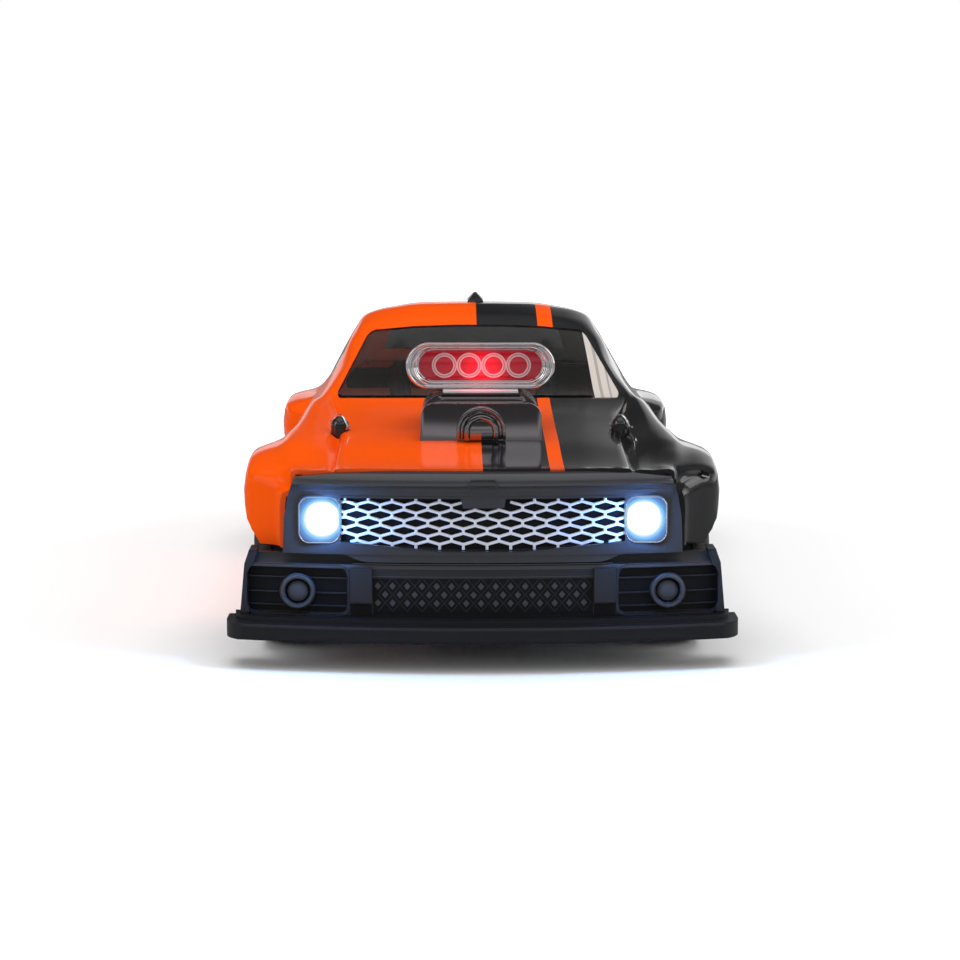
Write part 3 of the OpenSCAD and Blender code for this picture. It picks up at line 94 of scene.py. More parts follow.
def glowLight(name, x, y, z, r, power, color):
    data = bpy.data.lights.new(name, "POINT")
    data.shadow_soft_size, data.energy, data.color = r * mm, power, color
    ob = bpy.data.objects.new(name, data)
    bpy.context.scene.collection.objects.link(ob)
    ob.location = (x * mm, y * mm, z * mm)
    ob.visible_glossy = False
    ob.visible_camera = False
    ob.visible_transmission = False


def node(tree, kind, **values):  # _0 and the like set an input, the rest the node's own settings
    n = tree.nodes.new(kind)
    for key, value in values.items():
        if key.startswith("_"):
            n.inputs[int(key[1:])].default_value = value
        else:
            setattr(n, key, value)
    return n


def feed(t, socket, value):  # a socket takes a number, a colour or a link
    if isinstance(value, (int, float, tuple)):
        socket.default_value = value
    else:
        t.links.new(value, socket)


def mathNode(t, kind, a, b=0.0):
    n = node(t, "ShaderNodeMath", operation=kind)
    feed(t, n.inputs[0], a)
    feed(t, n.inputs[1], b)
    return n.outputs[0]


def product(t, first, *others):
    for other in others:
        first = mathNode(t, "MULTIPLY", first, other)
    return first


def mapRange(t, value, low, high, top=1.0):
    n = node(t, "ShaderNodeMapRange")
    for key, v in (("From Min", low), ("From Max", high), ("To Max", top), ("Value", value)):
        feed(t, n.inputs[key], v)
    return n.outputs[0]


def mixColor(t, factor, a, b, kind="MIX"):
    n = node(t, "ShaderNodeMix", data_type="RGBA", blend_type=kind)
    for i, v in ((0, factor), (6, a), (7, b)):
        feed(t, n.inputs[i], v)
    return n.outputs[2]


def mixShader(t, factor, a, b):
    n = node(t, "ShaderNodeMixShader")
    for i, v in enumerate((factor, a, b)):
        feed(t, n.inputs[i], v)
    return n.outputs[0]


def colorRamp(t, value, stops, kind="LINEAR"):  # stops: (place from 0 to 1, colour)
    ramp = node(t, "ShaderNodeValToRGB")
    ramp.color_ramp.interpolation = kind
    while len(ramp.color_ramp.elements) < len(stops):
        ramp.color_ramp.elements.new(0.5)
    for e, (at, color) in zip(ramp.color_ramp.elements, stops):
        e.position, e.color = at, (*color, 1)
    t.links.new(value, ramp.inputs[0])
    return ramp.outputs[0]


def rayKinds(t):  # rays of the camera, also through glass, and rays of reflections
    path = node(t, "ShaderNodeLightPath")
    seen = mathNode(t, "MAXIMUM", path.outputs["Is Camera Ray"], path.outputs["Is Transmission Ray"])
    return seen, path.outputs["Is Glossy Ray"]


def skyRamp(t, height, stops):
    return colorRamp(t, height, [(at, (v, v, v * 1.01)) for at, v in stops])


def background(t, color=(1, 1, 1, 1), strength=1.0):
    n = node(t, "ShaderNodeBackground", _1=strength)
    feed(t, n.inputs[0], color)
    return n.outputs[0]


def makeWorld():  # pale to the eye, dim to matt surfaces, and a room of its own to glossy ones
    world = bpy.data.worlds.new("studio")
    bpy.context.scene.world = world
    world.use_nodes = True
    t = world.node_tree
    t.nodes.clear()
    seen, mirrored = rayKinds(t)
    where = node(t, "ShaderNodeTexCoord")
    split = node(t, "ShaderNodeSeparateXYZ")
    t.links.new(where.outputs["Generated"], split.inputs[0])
    x, y, height = split.outputs
    side = mapRange(t, y, *light["turn"])
    room = mixColor(t, side, skyRamp(t, height, light["ahead"]), skyRamp(t, height, light["behind"]))
    card = product(t, mapRange(t, x, *light["card"]), mapRange(t, height, *light["cardHeight"]), side)
    glossy = background(t, mixColor(t, 1.0, room, card, "ADD"))
    unseen = mixShader(t, mirrored, background(t, strength=light["sky"]), glossy)
    out = node(t, "ShaderNodeOutputWorld")
    t.links.new(mixShader(t, seen, unseen, background(t)), out.inputs[0])


def makeFloor():
    s = light["floorHalf"]
    mesh = bpy.data.meshes.new("floor")
    mesh.from_pydata([(-s, -s, 0), (s, -s, 0), (s, s, 0), (-s, s, 0)], [], [(0, 1, 2, 3)])
    floor = bpy.data.objects.new("floor", mesh)
    bpy.context.scene.collection.objects.link(floor)
    mat = bpy.data.materials.new("paleFloor")
    mat.use_nodes = True
    mesh.materials.append(mat)
    t = mat.node_tree
    t.nodes.clear()
    seen, mirrored = rayKinds(t)
    tone = light["floorTone"]
    dim = tone * light["floorMirror"]  # darker in reflections
    matt = node(t, "ShaderNodeBsdfDiffuse")
    t.links.new(mixColor(t, mirrored, (tone, tone, tone, 1), (dim, dim, dim, 1)), matt.inputs[0])
    where = node(t, "ShaderNodeTexCoord")  # the floor pales away from the car, so that the car's own shadow stays
    far = node(t, "ShaderNodeVectorMath", operation="LENGTH")
    t.links.new(where.outputs["Object"], far.inputs[0])
    fade = mapRange(t, far.outputs[1], light["floorNear"], light["floorFar"])
    glow = node(t, "ShaderNodeEmission")
    t.links.new(product(t, seen, fade, light["floorGlow"]), glow.inputs[1])
    add = node(t, "ShaderNodeAddShader")
    t.links.new(matt.outputs[0], add.inputs[0])
    t.links.new(glow.outputs[0], add.inputs[1])
    out = node(t, "ShaderNodeOutputMaterial")
    t.links.new(add.outputs[0], out.inputs[0])


def makeStudio():
    bpy.context.scene.view_settings.view_transform = "Standard"
    makeWorld()
    for name in ("top", "left", "right", "front"):
        areaLight(name, *light[name])
    x, y, z, r = light["lamp"]
    for s in (-1, 1):  # the cold light that the lamps throw on the nose
        glowLight("lampGlow", s * x, y, z, r, light["lampGlow"], light["lampColor"])
    glowLight("lensGlow", *light["lens"], light["lensGlow"], light["lensColor"])
    makeFloor()
    print("studio ready")


def shader(mat):
    return mat.node_tree.nodes["Principled BSDF"]


def objectPlace(t):  # X, Y and Z on the object's own coordinates
    where = node(t, "ShaderNodeTexCoord")
    xyz = node(t, "ShaderNodeSeparateXYZ")
    t.links.new(where.outputs["Object"], xyz.inputs[0])
    return xyz.outputs


# Finishes: name, colour and gloss; bump is (scale, strength, depth in mm), vary is (scale, spread of roughness).
def material(name, color, rough, metal=0.0, coat=0.0, bump=None, vary=None, **sockets):
    mat = bpy.data.materials.new(name)
    mat.use_nodes = True
    t = mat.node_tree
    s = shader(mat)
    s.inputs["Base Color"].default_value = (*color, 1)
    s.inputs["Roughness"].default_value = rough
    s.inputs["Metallic"].default_value = metal
    if coat:
        s.inputs["Coat Weight"].default_value = coat
        s.inputs["Coat Roughness"].default_value = 0.04
    for key, value in sockets.items():
        s.inputs[key.replace("_", " ")].default_value = value
    where = node(t, "ShaderNodeTexCoord")
    if bump:
        noise = node(t, "ShaderNodeTexNoise")
        noise.inputs["Scale"].default_value = bump[0]
        noise.inputs["Detail"].default_value = 3
        t.links.new(where.outputs["Object"], noise.inputs["Vector"])
        b = node(t, "ShaderNodeBump")
        b.inputs["Strength"].default_value = bump[1]
        b.inputs["Distance"].default_value = bump[2] * mm
        t.links.new(noise.outputs[0], b.inputs["Height"])
        t.links.new(b.outputs[0], s.inputs["Normal"])
    if vary:
        noise = node(t, "ShaderNodeTexNoise")
        noise.inputs["Scale"].default_value = vary[0]
        noise.inputs["Detail"].default_value = 4
        t.links.new(where.outputs["Object"], noise.inputs["Vector"])
        r = node(t, "ShaderNodeMapRange")
        r.inputs["To Min"].default_value = max(0.0, rough - vary[1])
        r.inputs["To Max"].default_value = rough + vary[1]
        t.links.new(noise.outputs[0], r.inputs["Value"])
        t.links.new(r.outputs[0], s.inputs["Roughness"])
    return mat


paint = {
    "orange": (0.93, 0.092, 0.001), "black": (0.010, 0.0102, 0.0115), "ink": (0.004, 0.004, 0.004),
    "hoodStripe": (17.3, 21.0), "roofStripe": (19.2, 24.0), "stripeTurn": -10.0,
    "coat": (0.14, 0.86), "gloss": (0.06, 0.26),  # on the orange half, and what the black half adds
    "seam": 0.25, "doorSeams": (-27.0, 37.0), "sideFrom": 45, "sideLow": 15.5, "sideTop": 58.5, "sill": 16,
    "lidFront": 106, "lidHalf": 38, "lidLow": 56,
}


def stepNode(t, value, edge):  # 1 past a place, in mm
    return mathNode(t, "GREATER_THAN", value, edge * mm)


def belowNode(t, value, edge):
    return mathNode(t, "LESS_THAN", value, edge * mm)


def lessNode(t, value):  # what is left of 1
    return mathNode(t, "SUBTRACT", 1.0, value)


def spanNode(t, value, low, high):
    return product(t, stepNode(t, value, low), lessNode(t, stepNode(t, value, high)))


def bandNode(t, value, at, half):  # 1 within half of a place, in mm
    return belowNode(t, mathNode(t, "ABSOLUTE", mathNode(t, "SUBTRACT", value, at * mm)), half)


def seamLines(t, x, y, z):  # door shuts, the sill and the boot lid's edge, as the moulding has them
    p, half = paint, paint["seam"]
    wide = mathNode(t, "ABSOLUTE", x)
    side = stepNode(t, wide, p["sideFrom"])
    doors = mathNode(t, "MAXIMUM", *[bandNode(t, y, at, half) for at in p["doorSeams"]])
    line = product(t, doors, side, belowNode(t, z, p["sideTop"]), stepNode(t, z, p["sideLow"]))
    lid = product(t, bandNode(t, y, p["lidFront"], half), belowNode(t, wide, p["lidHalf"]), stepNode(t, z, p["lidLow"]))
    edge = product(t, bandNode(t, wide, p["lidHalf"], half), stepNode(t, y, p["lidFront"]), stepNode(t, z, p["lidLow"]))
    sill = product(t, bandNode(t, z, p["sill"], half), side, belowNode(t, y, p["doorSeams"][1]),
                   stepNode(t, y, p["doorSeams"][0]))
    for other in (lid, edge, sill):
        line = mathNode(t, "MAXIMUM", line, other)
    return line


def shellPaint(name, rough, coat, seams, shade=1.0):
    orange, dark = [tuple(c * shade for c in paint[key]) for key in ("orange", "black")]
    mat = material(name, orange, rough, coat=coat, bump=(420, 0.03, 0.05), Specular_IOR_Level=0.3)
    t, s = mat.node_tree, shader(mat)
    x, y, z = objectPlace(t)
    back = stepNode(t, y, paint["stripeTurn"])
    stripe = mathNode(t, "ADD", product(t, spanNode(t, x, *paint["roofStripe"]), back),
                      product(t, spanNode(t, x, *paint["hoodStripe"]), lessNode(t, back)))
    black = product(t, stepNode(t, x, 0), lessNode(t, stripe))
    color = mixColor(t, black, (*orange, 1), (*dark, 1))
    if coat:
        for key, socket, full in (("coat", "Coat Weight", coat), ("gloss", "Specular IOR Level", 1.0)):
            least, more = paint[key]
            t.links.new(mathNode(t, "ADD", full * least, product(t, black, full * more)), s.inputs[socket])
    if seams:
        color = mixColor(t, seamLines(t, x, y, z), color, (*paint["ink"], 1))
    t.links.new(color, s.inputs["Base Color"])
    return mat


def paintedGlowRings(mat, x, z, stops, mirrored=False):
    # painted glow: emission colours ringed round a point of the XZ plane; stops are (radius in mm, colour)
    t = mat.node_tree
    across, along, height = objectPlace(t)
    if mirrored:
        across = mathNode(t, "ABSOLUTE", across)
    dx = mathNode(t, "SUBTRACT", across, x * mm)
    dz = mathNode(t, "SUBTRACT", height, z * mm)
    far = mathNode(t, "SQRT", mathNode(t, "ADD", product(t, dx, dx), product(t, dz, dz)))
    reach = stops[-1][0]
    glow = colorRamp(t, mathNode(t, "DIVIDE", far, reach * mm), [(r / reach, color) for r, color in stops])
    t.links.new(glow, shader(mat).inputs["Emission Color"])


pane = {
    "front": (0.78, 0.76, 0.73), "rear": (0.02, 0.02, 0.022), "rearFrom": 78,
    # strip and line: a pale painted strip with darker lines, painted light standing for the side glass seen through the
    # screen
    "strip": (0.66, 0.6, 0.55), "line": (0.42, 0.38, 0.35), "paintedStripTo": 27, "solid": 0.85,
    "inner": (33.4, 73, 0.09), "outer": (43.3, 60, 0.52),  # the painted pale strip's two edges: X, at a height, and their lean
    "lines": ((2.3, 0.45), (4.9, 0.3)),  # place and half width of the darker painted lines, from the inner edge
}


def smokedGlazingWithPaintedStrip():
    # smoked in front, black behind; on the right of the screen a pale, mostly opaque strip with darker lines, painted
    # light where the bright side glass shows through
    mat = material("smokedGlazingWithPaintedStrip", pane["front"], 0.02, IOR=1.12, bump=(60, 0.02, 0.05))
    t, s = mat.node_tree, shader(mat)
    x, y, z = objectPlace(t)
    innerX, innerZ, innerLean = pane["inner"]
    outerX, outerZ, outerLean = pane["outer"]
    inner = mathNode(t, "ADD", innerX * mm, product(t, mathNode(t, "SUBTRACT", innerZ * mm, z), innerLean))
    outer = mathNode(t, "SUBTRACT", outerX * mm, product(t, mathNode(t, "SUBTRACT", z, outerZ * mm), outerLean))
    inward = mathNode(t, "SUBTRACT", x, inner)
    # the pale strip is painted light: mostly opaque, with darker painted lines across it
    strip = product(t, stepNode(t, inward, 0), mathNode(t, "LESS_THAN", x, outer), belowNode(t, y, pane["paintedStripTo"]))
    lines = mathNode(t, "MAXIMUM", *[bandNode(t, inward, at, half) for at, half in pane["lines"]])
    tint = mixColor(t, stepNode(t, y, pane["rearFrom"]), (*pane["front"], 1), (*pane["rear"], 1))
    shade = mixColor(t, lines, (*pane["strip"], 1), (*pane["line"], 1))
    t.links.new(mixColor(t, strip, tint, shade), s.inputs["Base Color"])
    t.links.new(lessNode(t, product(t, strip, pane["solid"])), s.inputs["Transmission Weight"])
    return mat


def heightTint(mat, steps):  # colours by height in mm, each from its own height upwards
    t = mat.node_tree
    high = 100
    height = mathNode(t, "DIVIDE", objectPlace(t)[2], high * mm)
    tint = colorRamp(t, height, [(z / high, color) for z, color in steps], "CONSTANT")
    t.links.new(tint, shader(mat).inputs["Base Color"])


# painted glow rings for the scoop lens and the lamp bowl; the core is the lamp's own light; the bumper's colours go by
# height
tints = {
    "lens": [(0, (1.0, 0.1, 0.13)), (1.4, (1.0, 0.01, 0.035)), (3.6, (0.75, 0.003, 0.02)), (7, (0.22, 0.003, 0.012)),
             (18, (0.15, 0.004, 0.013))],
    "paintedGlowBowl": [(0, (1, 1, 1)), (4.3, (0.95, 0.99, 1)), (4.8, (0.3, 0.7, 1.0)), (5.7, (0.06, 0.26, 0.7)),
             (6.8, (0.015, 0.09, 0.3)), (9, (0.005, 0.03, 0.12))],
    "core": (0.9, 0.97, 1.0, 1), "strength": {"lens": 0.7, "paintedGlowBowl": 0.9, "core": 3.0},
    "bumper": [(0, (0.007, 0.007, 0.008)), (13.3, (0.02, 0.0203, 0.0225)), (29, (0.014, 0.014, 0.016))],
}


# emission: the core is the lamp's own light, while the bowl and the scoop lens get painted glow
def glowing(mat, strength, color=None):
    s = shader(mat)
    s.inputs["Emission Strength"].default_value = strength
    if color:
        s.inputs["Emission Color"].default_value = color


def makeMaterials():
    m = {}
    m["shell"] = shellPaint("shellPaint", 0.14, 0.55, True)
    # the shell's inside: the same two-tone paint at 0.95 brightness as painted shade, matt and without a coat
    m["shellInside"] = shellPaint("shellInside", 0.6, 0.0, False, 0.95)
    m["glazing"] = smokedGlazingWithPaintedStrip()
    m["bumper"] = material("grainedBlack", (0.03, 0.031, 0.034), 0.46, bump=(1500, 0.2, 0.03), vary=(90, 0.05),
                           Specular_IOR_Level=0.3)
    heightTint(m["bumper"], tints["bumper"])
    m["satin"] = material("satinBlack", (0.04, 0.041, 0.045), 0.4, bump=(700, 0.03, 0.03), vary=(60, 0.04))
    m["nose"] = material("glossBlack", (0.022, 0.0225, 0.026), 0.22, coat=0.4, bump=(500, 0.02, 0.03))
    # the deepest black, for black trim and as painted shade on recess floors, in gaps and in screw slots
    m["recess"] = material("deepBlackAndPaintedShade", (0.004, 0.004, 0.005), 0.6, bump=(900, 0.08, 0.03), Specular_IOR_Level=0.2)
    m["grille"] = material("printedSilver", (0.66, 0.67, 0.7), 0.32, metal=0.15, vary=(300, 0.06))
    # the lamp bowl: a bluish base with painted glow, white round the core, fading through blue to dark
    m["paintedGlowBowl"] = material("lampBowl", (0.03, 0.06, 0.12), 0.2, coat=0.5, bump=(700, 0.2, 0.05))
    paintedGlowRings(m["paintedGlowBowl"], 41.4, 38.5, tints["paintedGlowBowl"], mirrored=True)
    glowing(m["paintedGlowBowl"], tints["strength"]["paintedGlowBowl"])
    m["lampLit"] = material("lampLit", (1, 1, 1), 0.3, bump=(300, 0.02, 0.02))
    glowing(m["lampLit"], tints["strength"]["core"], tints["core"])
    m["lampClear"] = material("lampClear", (0.97, 0.99, 1.0), 0.02, bump=(300, 0.03, 0.05),
                              Transmission_Weight=1.0, IOR=1.3)
    m["darkChrome"] = material("darkChrome", (0.33, 0.305, 0.32), 0.1, metal=1.0,
                               bump=(160, 0.08, 0.08), vary=(80, 0.04))
    m["chrome"] = material("brightChrome", (0.8, 0.79, 0.8), 0.09, metal=1.0, bump=(90, 0.04, 0.08), vary=(120, 0.03))
    # the scoop lens: dark red with painted glow, bright in the middle and dark crimson towards the ends
    m["redLens"] = material("paintedGlowLens", (0.2, 0.002, 0.008), 0.08, coat=0.8)
    paintedGlowRings(m["redLens"], 1.0, 72.0, tints["lens"])
    glowing(m["redLens"], tints["strength"]["lens"])
    m["ring"] = material("ringSilver", (0.62, 0.53, 0.54), 0.35, metal=0.3, vary=(200, 0.05))
    m["tailRed"] = material("tailRed", (0.45, 0.004, 0.008), 0.1, coat=0.8, bump=(900, 0.3, 0.1))
    m["post"] = material("postBlack", (0.012, 0.012, 0.013), 0.18, coat=0.4, bump=(300, 0.03, 0.03))
    m["wire"] = material("springWire", (0.8, 0.8, 0.82), 0.12, metal=1.0, vary=(500, 0.05))
    m["nylon"] = material("mouldedNylon", (0.03, 0.03, 0.032), 0.46, bump=(1100, 0.12, 0.04), vary=(60, 0.06))
    m["grey"] = material("greyNylon", (0.07, 0.072, 0.078), 0.5, bump=(1000, 0.12, 0.04), vary=(60, 0.06))
    m["steel"] = material("plainSteel", (0.56, 0.57, 0.6), 0.24, metal=1.0, vary=(260, 0.08))
    m["can"] = material("motorCan", (0.62, 0.62, 0.65), 0.3, metal=1.0, bump=(300, 0.04, 0.03), vary=(180, 0.08))
    m["alu"] = material("turnedAluminium", (0.72, 0.73, 0.75), 0.26, metal=1.0,
                        bump=(900, 0.05, 0.02), vary=(120, 0.06))
    m["spring"] = material("redSpring", (0.6, 0.012, 0.01), 0.3, coat=0.5, vary=(150, 0.05))
    m["acetal"] = material("whiteAcetal", (0.78, 0.78, 0.75), 0.4, Subsurface_Weight=0.1, bump=(700, 0.05, 0.02))
    m["brass"] = material("turnedBrass", (0.72, 0.5, 0.2), 0.25, metal=1.0, vary=(300, 0.06))
    m["case"] = material("mattCase", (0.02, 0.02, 0.022), 0.5, bump=(1600, 0.15, 0.03))
    m["wrap"] = material("shrinkWrap", (0.01, 0.035, 0.14), 0.25, coat=0.4, bump=(60, 0.25, 0.3))
    m["rubber"] = material("slickRubber", (0.016, 0.016, 0.017), 0.62, bump=(1400, 0.3, 0.06), vary=(70, 0.08))
    m["rim"] = material("glossRim", (0.02, 0.02, 0.022), 0.2, coat=0.6, bump=(400, 0.02, 0.02))
    print("materials ready")
    return m


# Mesh helpers.
def newObject(name, verts, faces, mats, smooth=True):
    mesh = bpy.data.meshes.new(name)
    mesh.from_pydata([tuple(v) for v in verts], [], [tuple(f) for f in faces])
    for mt in mats:
        mesh.materials.append(mt)
    mesh.polygons.foreach_set("use_smooth", [smooth] * len(mesh.polygons))
    ob = bpy.data.objects.new(name, mesh)
    bpy.context.scene.collection.objects.link(ob)
    return ob


def bake(ob):  # the object's modifiers turned into its mesh
    deps = bpy.context.evaluated_depsgraph_get()
    mesh = bpy.data.meshes.new_from_object(ob.evaluated_get(deps))
    ob.modifiers.clear()
    old = ob.data
    ob.data = mesh
    bpy.data.meshes.remove(old)
    return ob


def smoothByAngle(ob, degrees=32):
    mesh = ob.data
    mesh.polygons.foreach_set("use_smooth", [True] * len(mesh.polygons))
    bm = bmesh.new()
    bm.from_mesh(mesh)
    limit = math.radians(degrees)
    for e in bm.edges:
        e.smooth = len(e.link_faces) == 2 and e.calc_face_angle(0) < limit
    bm.to_mesh(mesh)
    bm.free()


def finish(ob, nodes, body=None):  # seats a piece on its body, in place of the CAD nodes it stands for
    nodes = [nodes] if isinstance(nodes, str) else list(nodes)
    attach(ob, body or nodeBody[nodes[0]])
    if nodes:
        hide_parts(*nodes)
    return ob


def dressed(name, mat, edge=0.14, angle=32):  # a clean copy of a CAD node with small rounded edges
    mesh = frame["nodes"][name].data.copy()
    bm = bmesh.new()
    bm.from_mesh(mesh)
    bmesh.ops.remove_doubles(bm, verts=bm.verts, dist=2e-6)
    bmesh.ops.dissolve_limit(bm, angle_limit=math.radians(0.6), verts=bm.verts, edges=bm.edges)
    bm.to_mesh(mesh)
    bm.free()
    mesh.materials.clear()
    mesh.materials.append(mat)
    ob = bpy.data.objects.new(name + "_dressed", mesh)
    bpy.context.scene.collection.objects.link(ob)
    smoothByAngle(ob, angle)
    if edge:
        b = ob.modifiers.new("edge", "BEVEL")
        b.width, b.segments, b.limit_method, b.angle_limit = edge * mm, 2, "ANGLE", math.radians(angle + 4)
        b.use_clamp_overlap = True
        bake(ob)
        smoothByAngle(ob, 40)
    return finish(ob, name)


# The shell follows the same guide lines as its CAD node, with finer steps.
shell = {
    "front": -129.0, "tail": 136.0, "frontAxle": -92.0, "rearAxle": 82.0, "wall": 1.3,
    "flare": 62.6, "rearFlare": 63.6, "door": 54.0, "sill": 13.0, "roof": 83.8, "hood": 51.4,
    "archRadius": 26.0, "archCentre": 22.0, "archStraight": 22.0, "archTop": 18,
    "noseCut": (-18, 30.3), "tailCut": (24, 26), "mountGap": 0.2, "steps": 150, "fine": 3,
}
fa, ra = shell["frontAxle"], shell["rearAxle"]
y0, y1, flare, door = shell["front"], shell["tail"], shell["flare"], shell["door"]
rearFlare = shell["rearFlare"]
guides = {
    "side": [(y0, 52.3), (fa - 33, 52.8), (fa - 31, 55.4), (fa - 29, 59.2), (fa - 26.5, flare - 0.9),
             (fa - 20, flare - 0.1), (fa - 14, flare), (fa + 16, flare + 0.2), (fa + 26, flare - 1.6),
             (fa + 33, door + 0.8), (0, door - 0.6), (ra - 33, door + 0.4),
             (ra - 26, rearFlare - 1.8), (ra - 16, rearFlare), (ra + 16, rearFlare),
             (ra + 28, rearFlare - 4.4), (y1 - 8, 53.6), (y1, 51)],
    "corner": [(y0, 45.5), (fa - 33, 46.2), (fa - 28, 48.8), (fa - 20, 50.2), (fa, 51.8), (fa + 18, 51.2),
               (fa + 34, 48), (0, 47), (ra - 34, 47.6), (ra - 22, 49.6), (ra, 50.4), (ra + 18, 49.8), (y1, 48)],
    "foldX": [(y0, 49.5), (fa - 10, 51.2), (fa, 52), (fa + 32, 51.4), (0, 51.5), (ra - 34, 51.6), (ra, 52.6),
              (ra + 28, 50.5), (y1, 47)],
    "foldZ": [(y0, 50.2), (fa - 10, 53.6), (fa, 55), (fa + 32, 56.2), (0, 55.6), (ra - 34, 54.6), (ra, 53.6),
              (y1, 52.2)],
    "beltX": [(y0, 44), (fa, 45.5), (-60, 47.6), (-28, 46.4), (20, 47.6), (ra, 47), (ra + 28, 44.5), (y1, 42.5)],
    "beltZ": [(y0, 50.6), (fa - 12, 52.8), (fa, 54.4), (-60, 57.6), (-28, 60.6), (20, 60.4), (ra, 60.6), (ra + 28, 59),
              (y1, 57.6)],
    "roofX": [(y0, 38.5), (fa, 38.8), (-50, 40), (-28, 43.4), (0, 40.2), (22, 38.8), (45, 38.6), (70, 38.2),
              (ra + 12, 39), (ra + 36, 40.5), (y1, 38.5)],
    "rim": [(y0, 50.4), (-100, 51.6), (-74, 53.6), (-50, 56.6), (-28, 60.4), (0, 68.6), (22, 75), (45, 76.6), (65, 75),
            (ra + 12, 67.6), (ra + 36, 60.2), (y1, 58)],
    "crown": [(y0, shell["hood"]), (-92, 54.6), (-60, 57), (-28, 60.4), (0, 70.9), (18, 77.3), (32, 81.6),
              (46, shell["roof"]), (60, shell["roof"] - 0.2), (76, shell["roof"] - 3.6), (ra + 30, 62), (ra + 38, 61),
              (y1 - 4, 62.4), (y1, 61.6)],
    "round": [(y0, 1), (-28, 1.2), (0, 4), (22, 6.6), (60, 6.6), (ra + 12, 4), (ra + 34, 1.2), (y1, 1)],
}


def guide(name, y):
    line = guides[name]
    if y <= line[0][0]:
        return line[0][1]
    if y >= line[-1][0]:
        return line[-1][1]
    i = max(k for k in range(len(line) - 1) if line[k][0] <= y)

    def slope(k):
        if k <= 0 or k >= len(line) - 1:
            return 0.0
        a = (line[k][1] - line[k - 1][1]) / (line[k][0] - line[k - 1][0])
        b = (line[k + 1][1] - line[k][1]) / (line[k + 1][0] - line[k][0])
        return 0.0 if a * b <= 0 else 2 * a * b / (a + b)

    h = line[i + 1][0] - line[i][0]
    t = (y - line[i][0]) / h
    a, b = slope(i) * h, slope(i + 1) * h
    return (line[i][1] * (1 + 2 * t) * (1 - t) ** 2 + a * t * (1 - t) ** 2
            + line[i + 1][1] * t * t * (3 - 2 * t) - b * t * t * (1 - t))


def halfRing(y):
    sx, cz, fx, fz = (guide(n, y) for n in ("side", "corner", "foldX", "foldZ"))
    bx, bz, rx, rz = (guide(n, y) for n in ("beltX", "beltZ", "roofX", "rim"))
    tz, q = guide("crown", y), guide("round", y)
    k = max(0.0, tz - rz)
    return [(sx - 0.5, shell["sill"]), (sx + 0.1, 24), (sx + 0.1, 36), (sx, cz - 2.8), (sx - 0.65, cz - 0.85),
            (sx - 2.4, cz), (sx * 0.4 + fx * 0.6 - 1, cz * 0.56 + fz * 0.44), (fx, fz), (bx, bz),
            ((bx * 2 + rx) / 3, (bz * 2 + rz) / 3 + 0.2), ((bx + 2 * rx) / 3, (bz + 2 * rz) / 3 + 0.3), (rx, rz),
            (rx - q * 0.32, rz + k * 0.42), (rx - q, rz + k * 0.68), (rx - q * 1.7 - 1.5, rz + k * 0.83),
            (rx * 0.55, rz + k * 0.93), (rx * 0.27, rz + k * 0.985), (0, tz)]


def bowed(x, y):
    return y + 5 * (x / 50) ** 2 * max(0.0, min(1.0, (fa - 8 - y) / 30))


def throughPoints(points, fine):  # a smooth line through the points, without overshoot at sharp turns
    p = [np.array(v, float) for v in points]
    out = []
    for i in range(len(p) - 1):
        before, after = p[max(0, i - 1)], p[min(len(p) - 1, i + 2)]
        step = np.linalg.norm(p[i + 1] - p[i])

        def tangent(a, b, c):
            u, v = b - a, c - b
            lu, lv = np.linalg.norm(u), np.linalg.norm(v)
            if lu < 1e-6 or lv < 1e-6:
                return v / max(lv, 1e-6) if lu < 1e-6 else u / lu
            return (u / lu * lv + v / lv * lu) / (lu + lv)

        m0 = tangent(before, p[i], p[i + 1]) * step
        m1 = tangent(p[i], p[i + 1], after) * step
        for j in range(fine):
            t = j / fine
            out.append(p[i] * (1 + 2 * t) * (1 - t) ** 2 + m0 * t * (1 - t) ** 2
                       + p[i + 1] * t * t * (3 - 2 * t) - m1 * t * t * (1 - t))
    return out + [p[-1]]


def shellSkin(name, wall, mats):
    ys = np.linspace(y0, y1, shell["steps"])
    rings = []
    for y in ys:
        half = throughPoints(halfRing(y), shell["fine"])
        half[-1][0] = 0
        ring = [(p[0], bowed(p[0], y), p[1]) for p in half]
        rings.append(ring + [(-x, yy, z) for x, yy, z in reversed(ring[:-1])])
    wide, long = len(rings[0]), len(rings)
    verts = [Vector(p) * mm for r in rings for p in r]
    faces = [(j * wide + i, (j + 1) * wide + i, (j + 1) * wide + i + 1, j * wide + i + 1)
             for j in range(long - 1) for i in range(wide - 1)]
    last = (long - 1) * wide  # the tail: strips between the two sides
    half = wide // 2
    faces += [(last + i, last + wide - 1 - i, last + wide - 2 - i, last + i + 1) for i in range(half - 1)]
    faces.append((last + half - 1, last + half + 1, last + half))
    ob = newObject(name, verts, faces, mats)
    bm = bmesh.new()
    bm.from_mesh(ob.data)
    bmesh.ops.recalc_face_normals(bm, faces=bm.faces)
    top = max(bm.faces, key=lambda f: f.calc_center_median().z)
    if top.normal.z < 0:
        bmesh.ops.reverse_faces(bm, faces=bm.faces)
    bm.to_mesh(ob.data)
    bm.free()
    thick = ob.modifiers.new("wall", "SOLIDIFY")
    thick.thickness, thick.offset, thick.use_even_offset = wall * mm, -1, True
    thick.use_rim = True
    thick.material_offset = thick.material_offset_rim = 1 if len(mats) > 1 else 0
    return bake(ob)


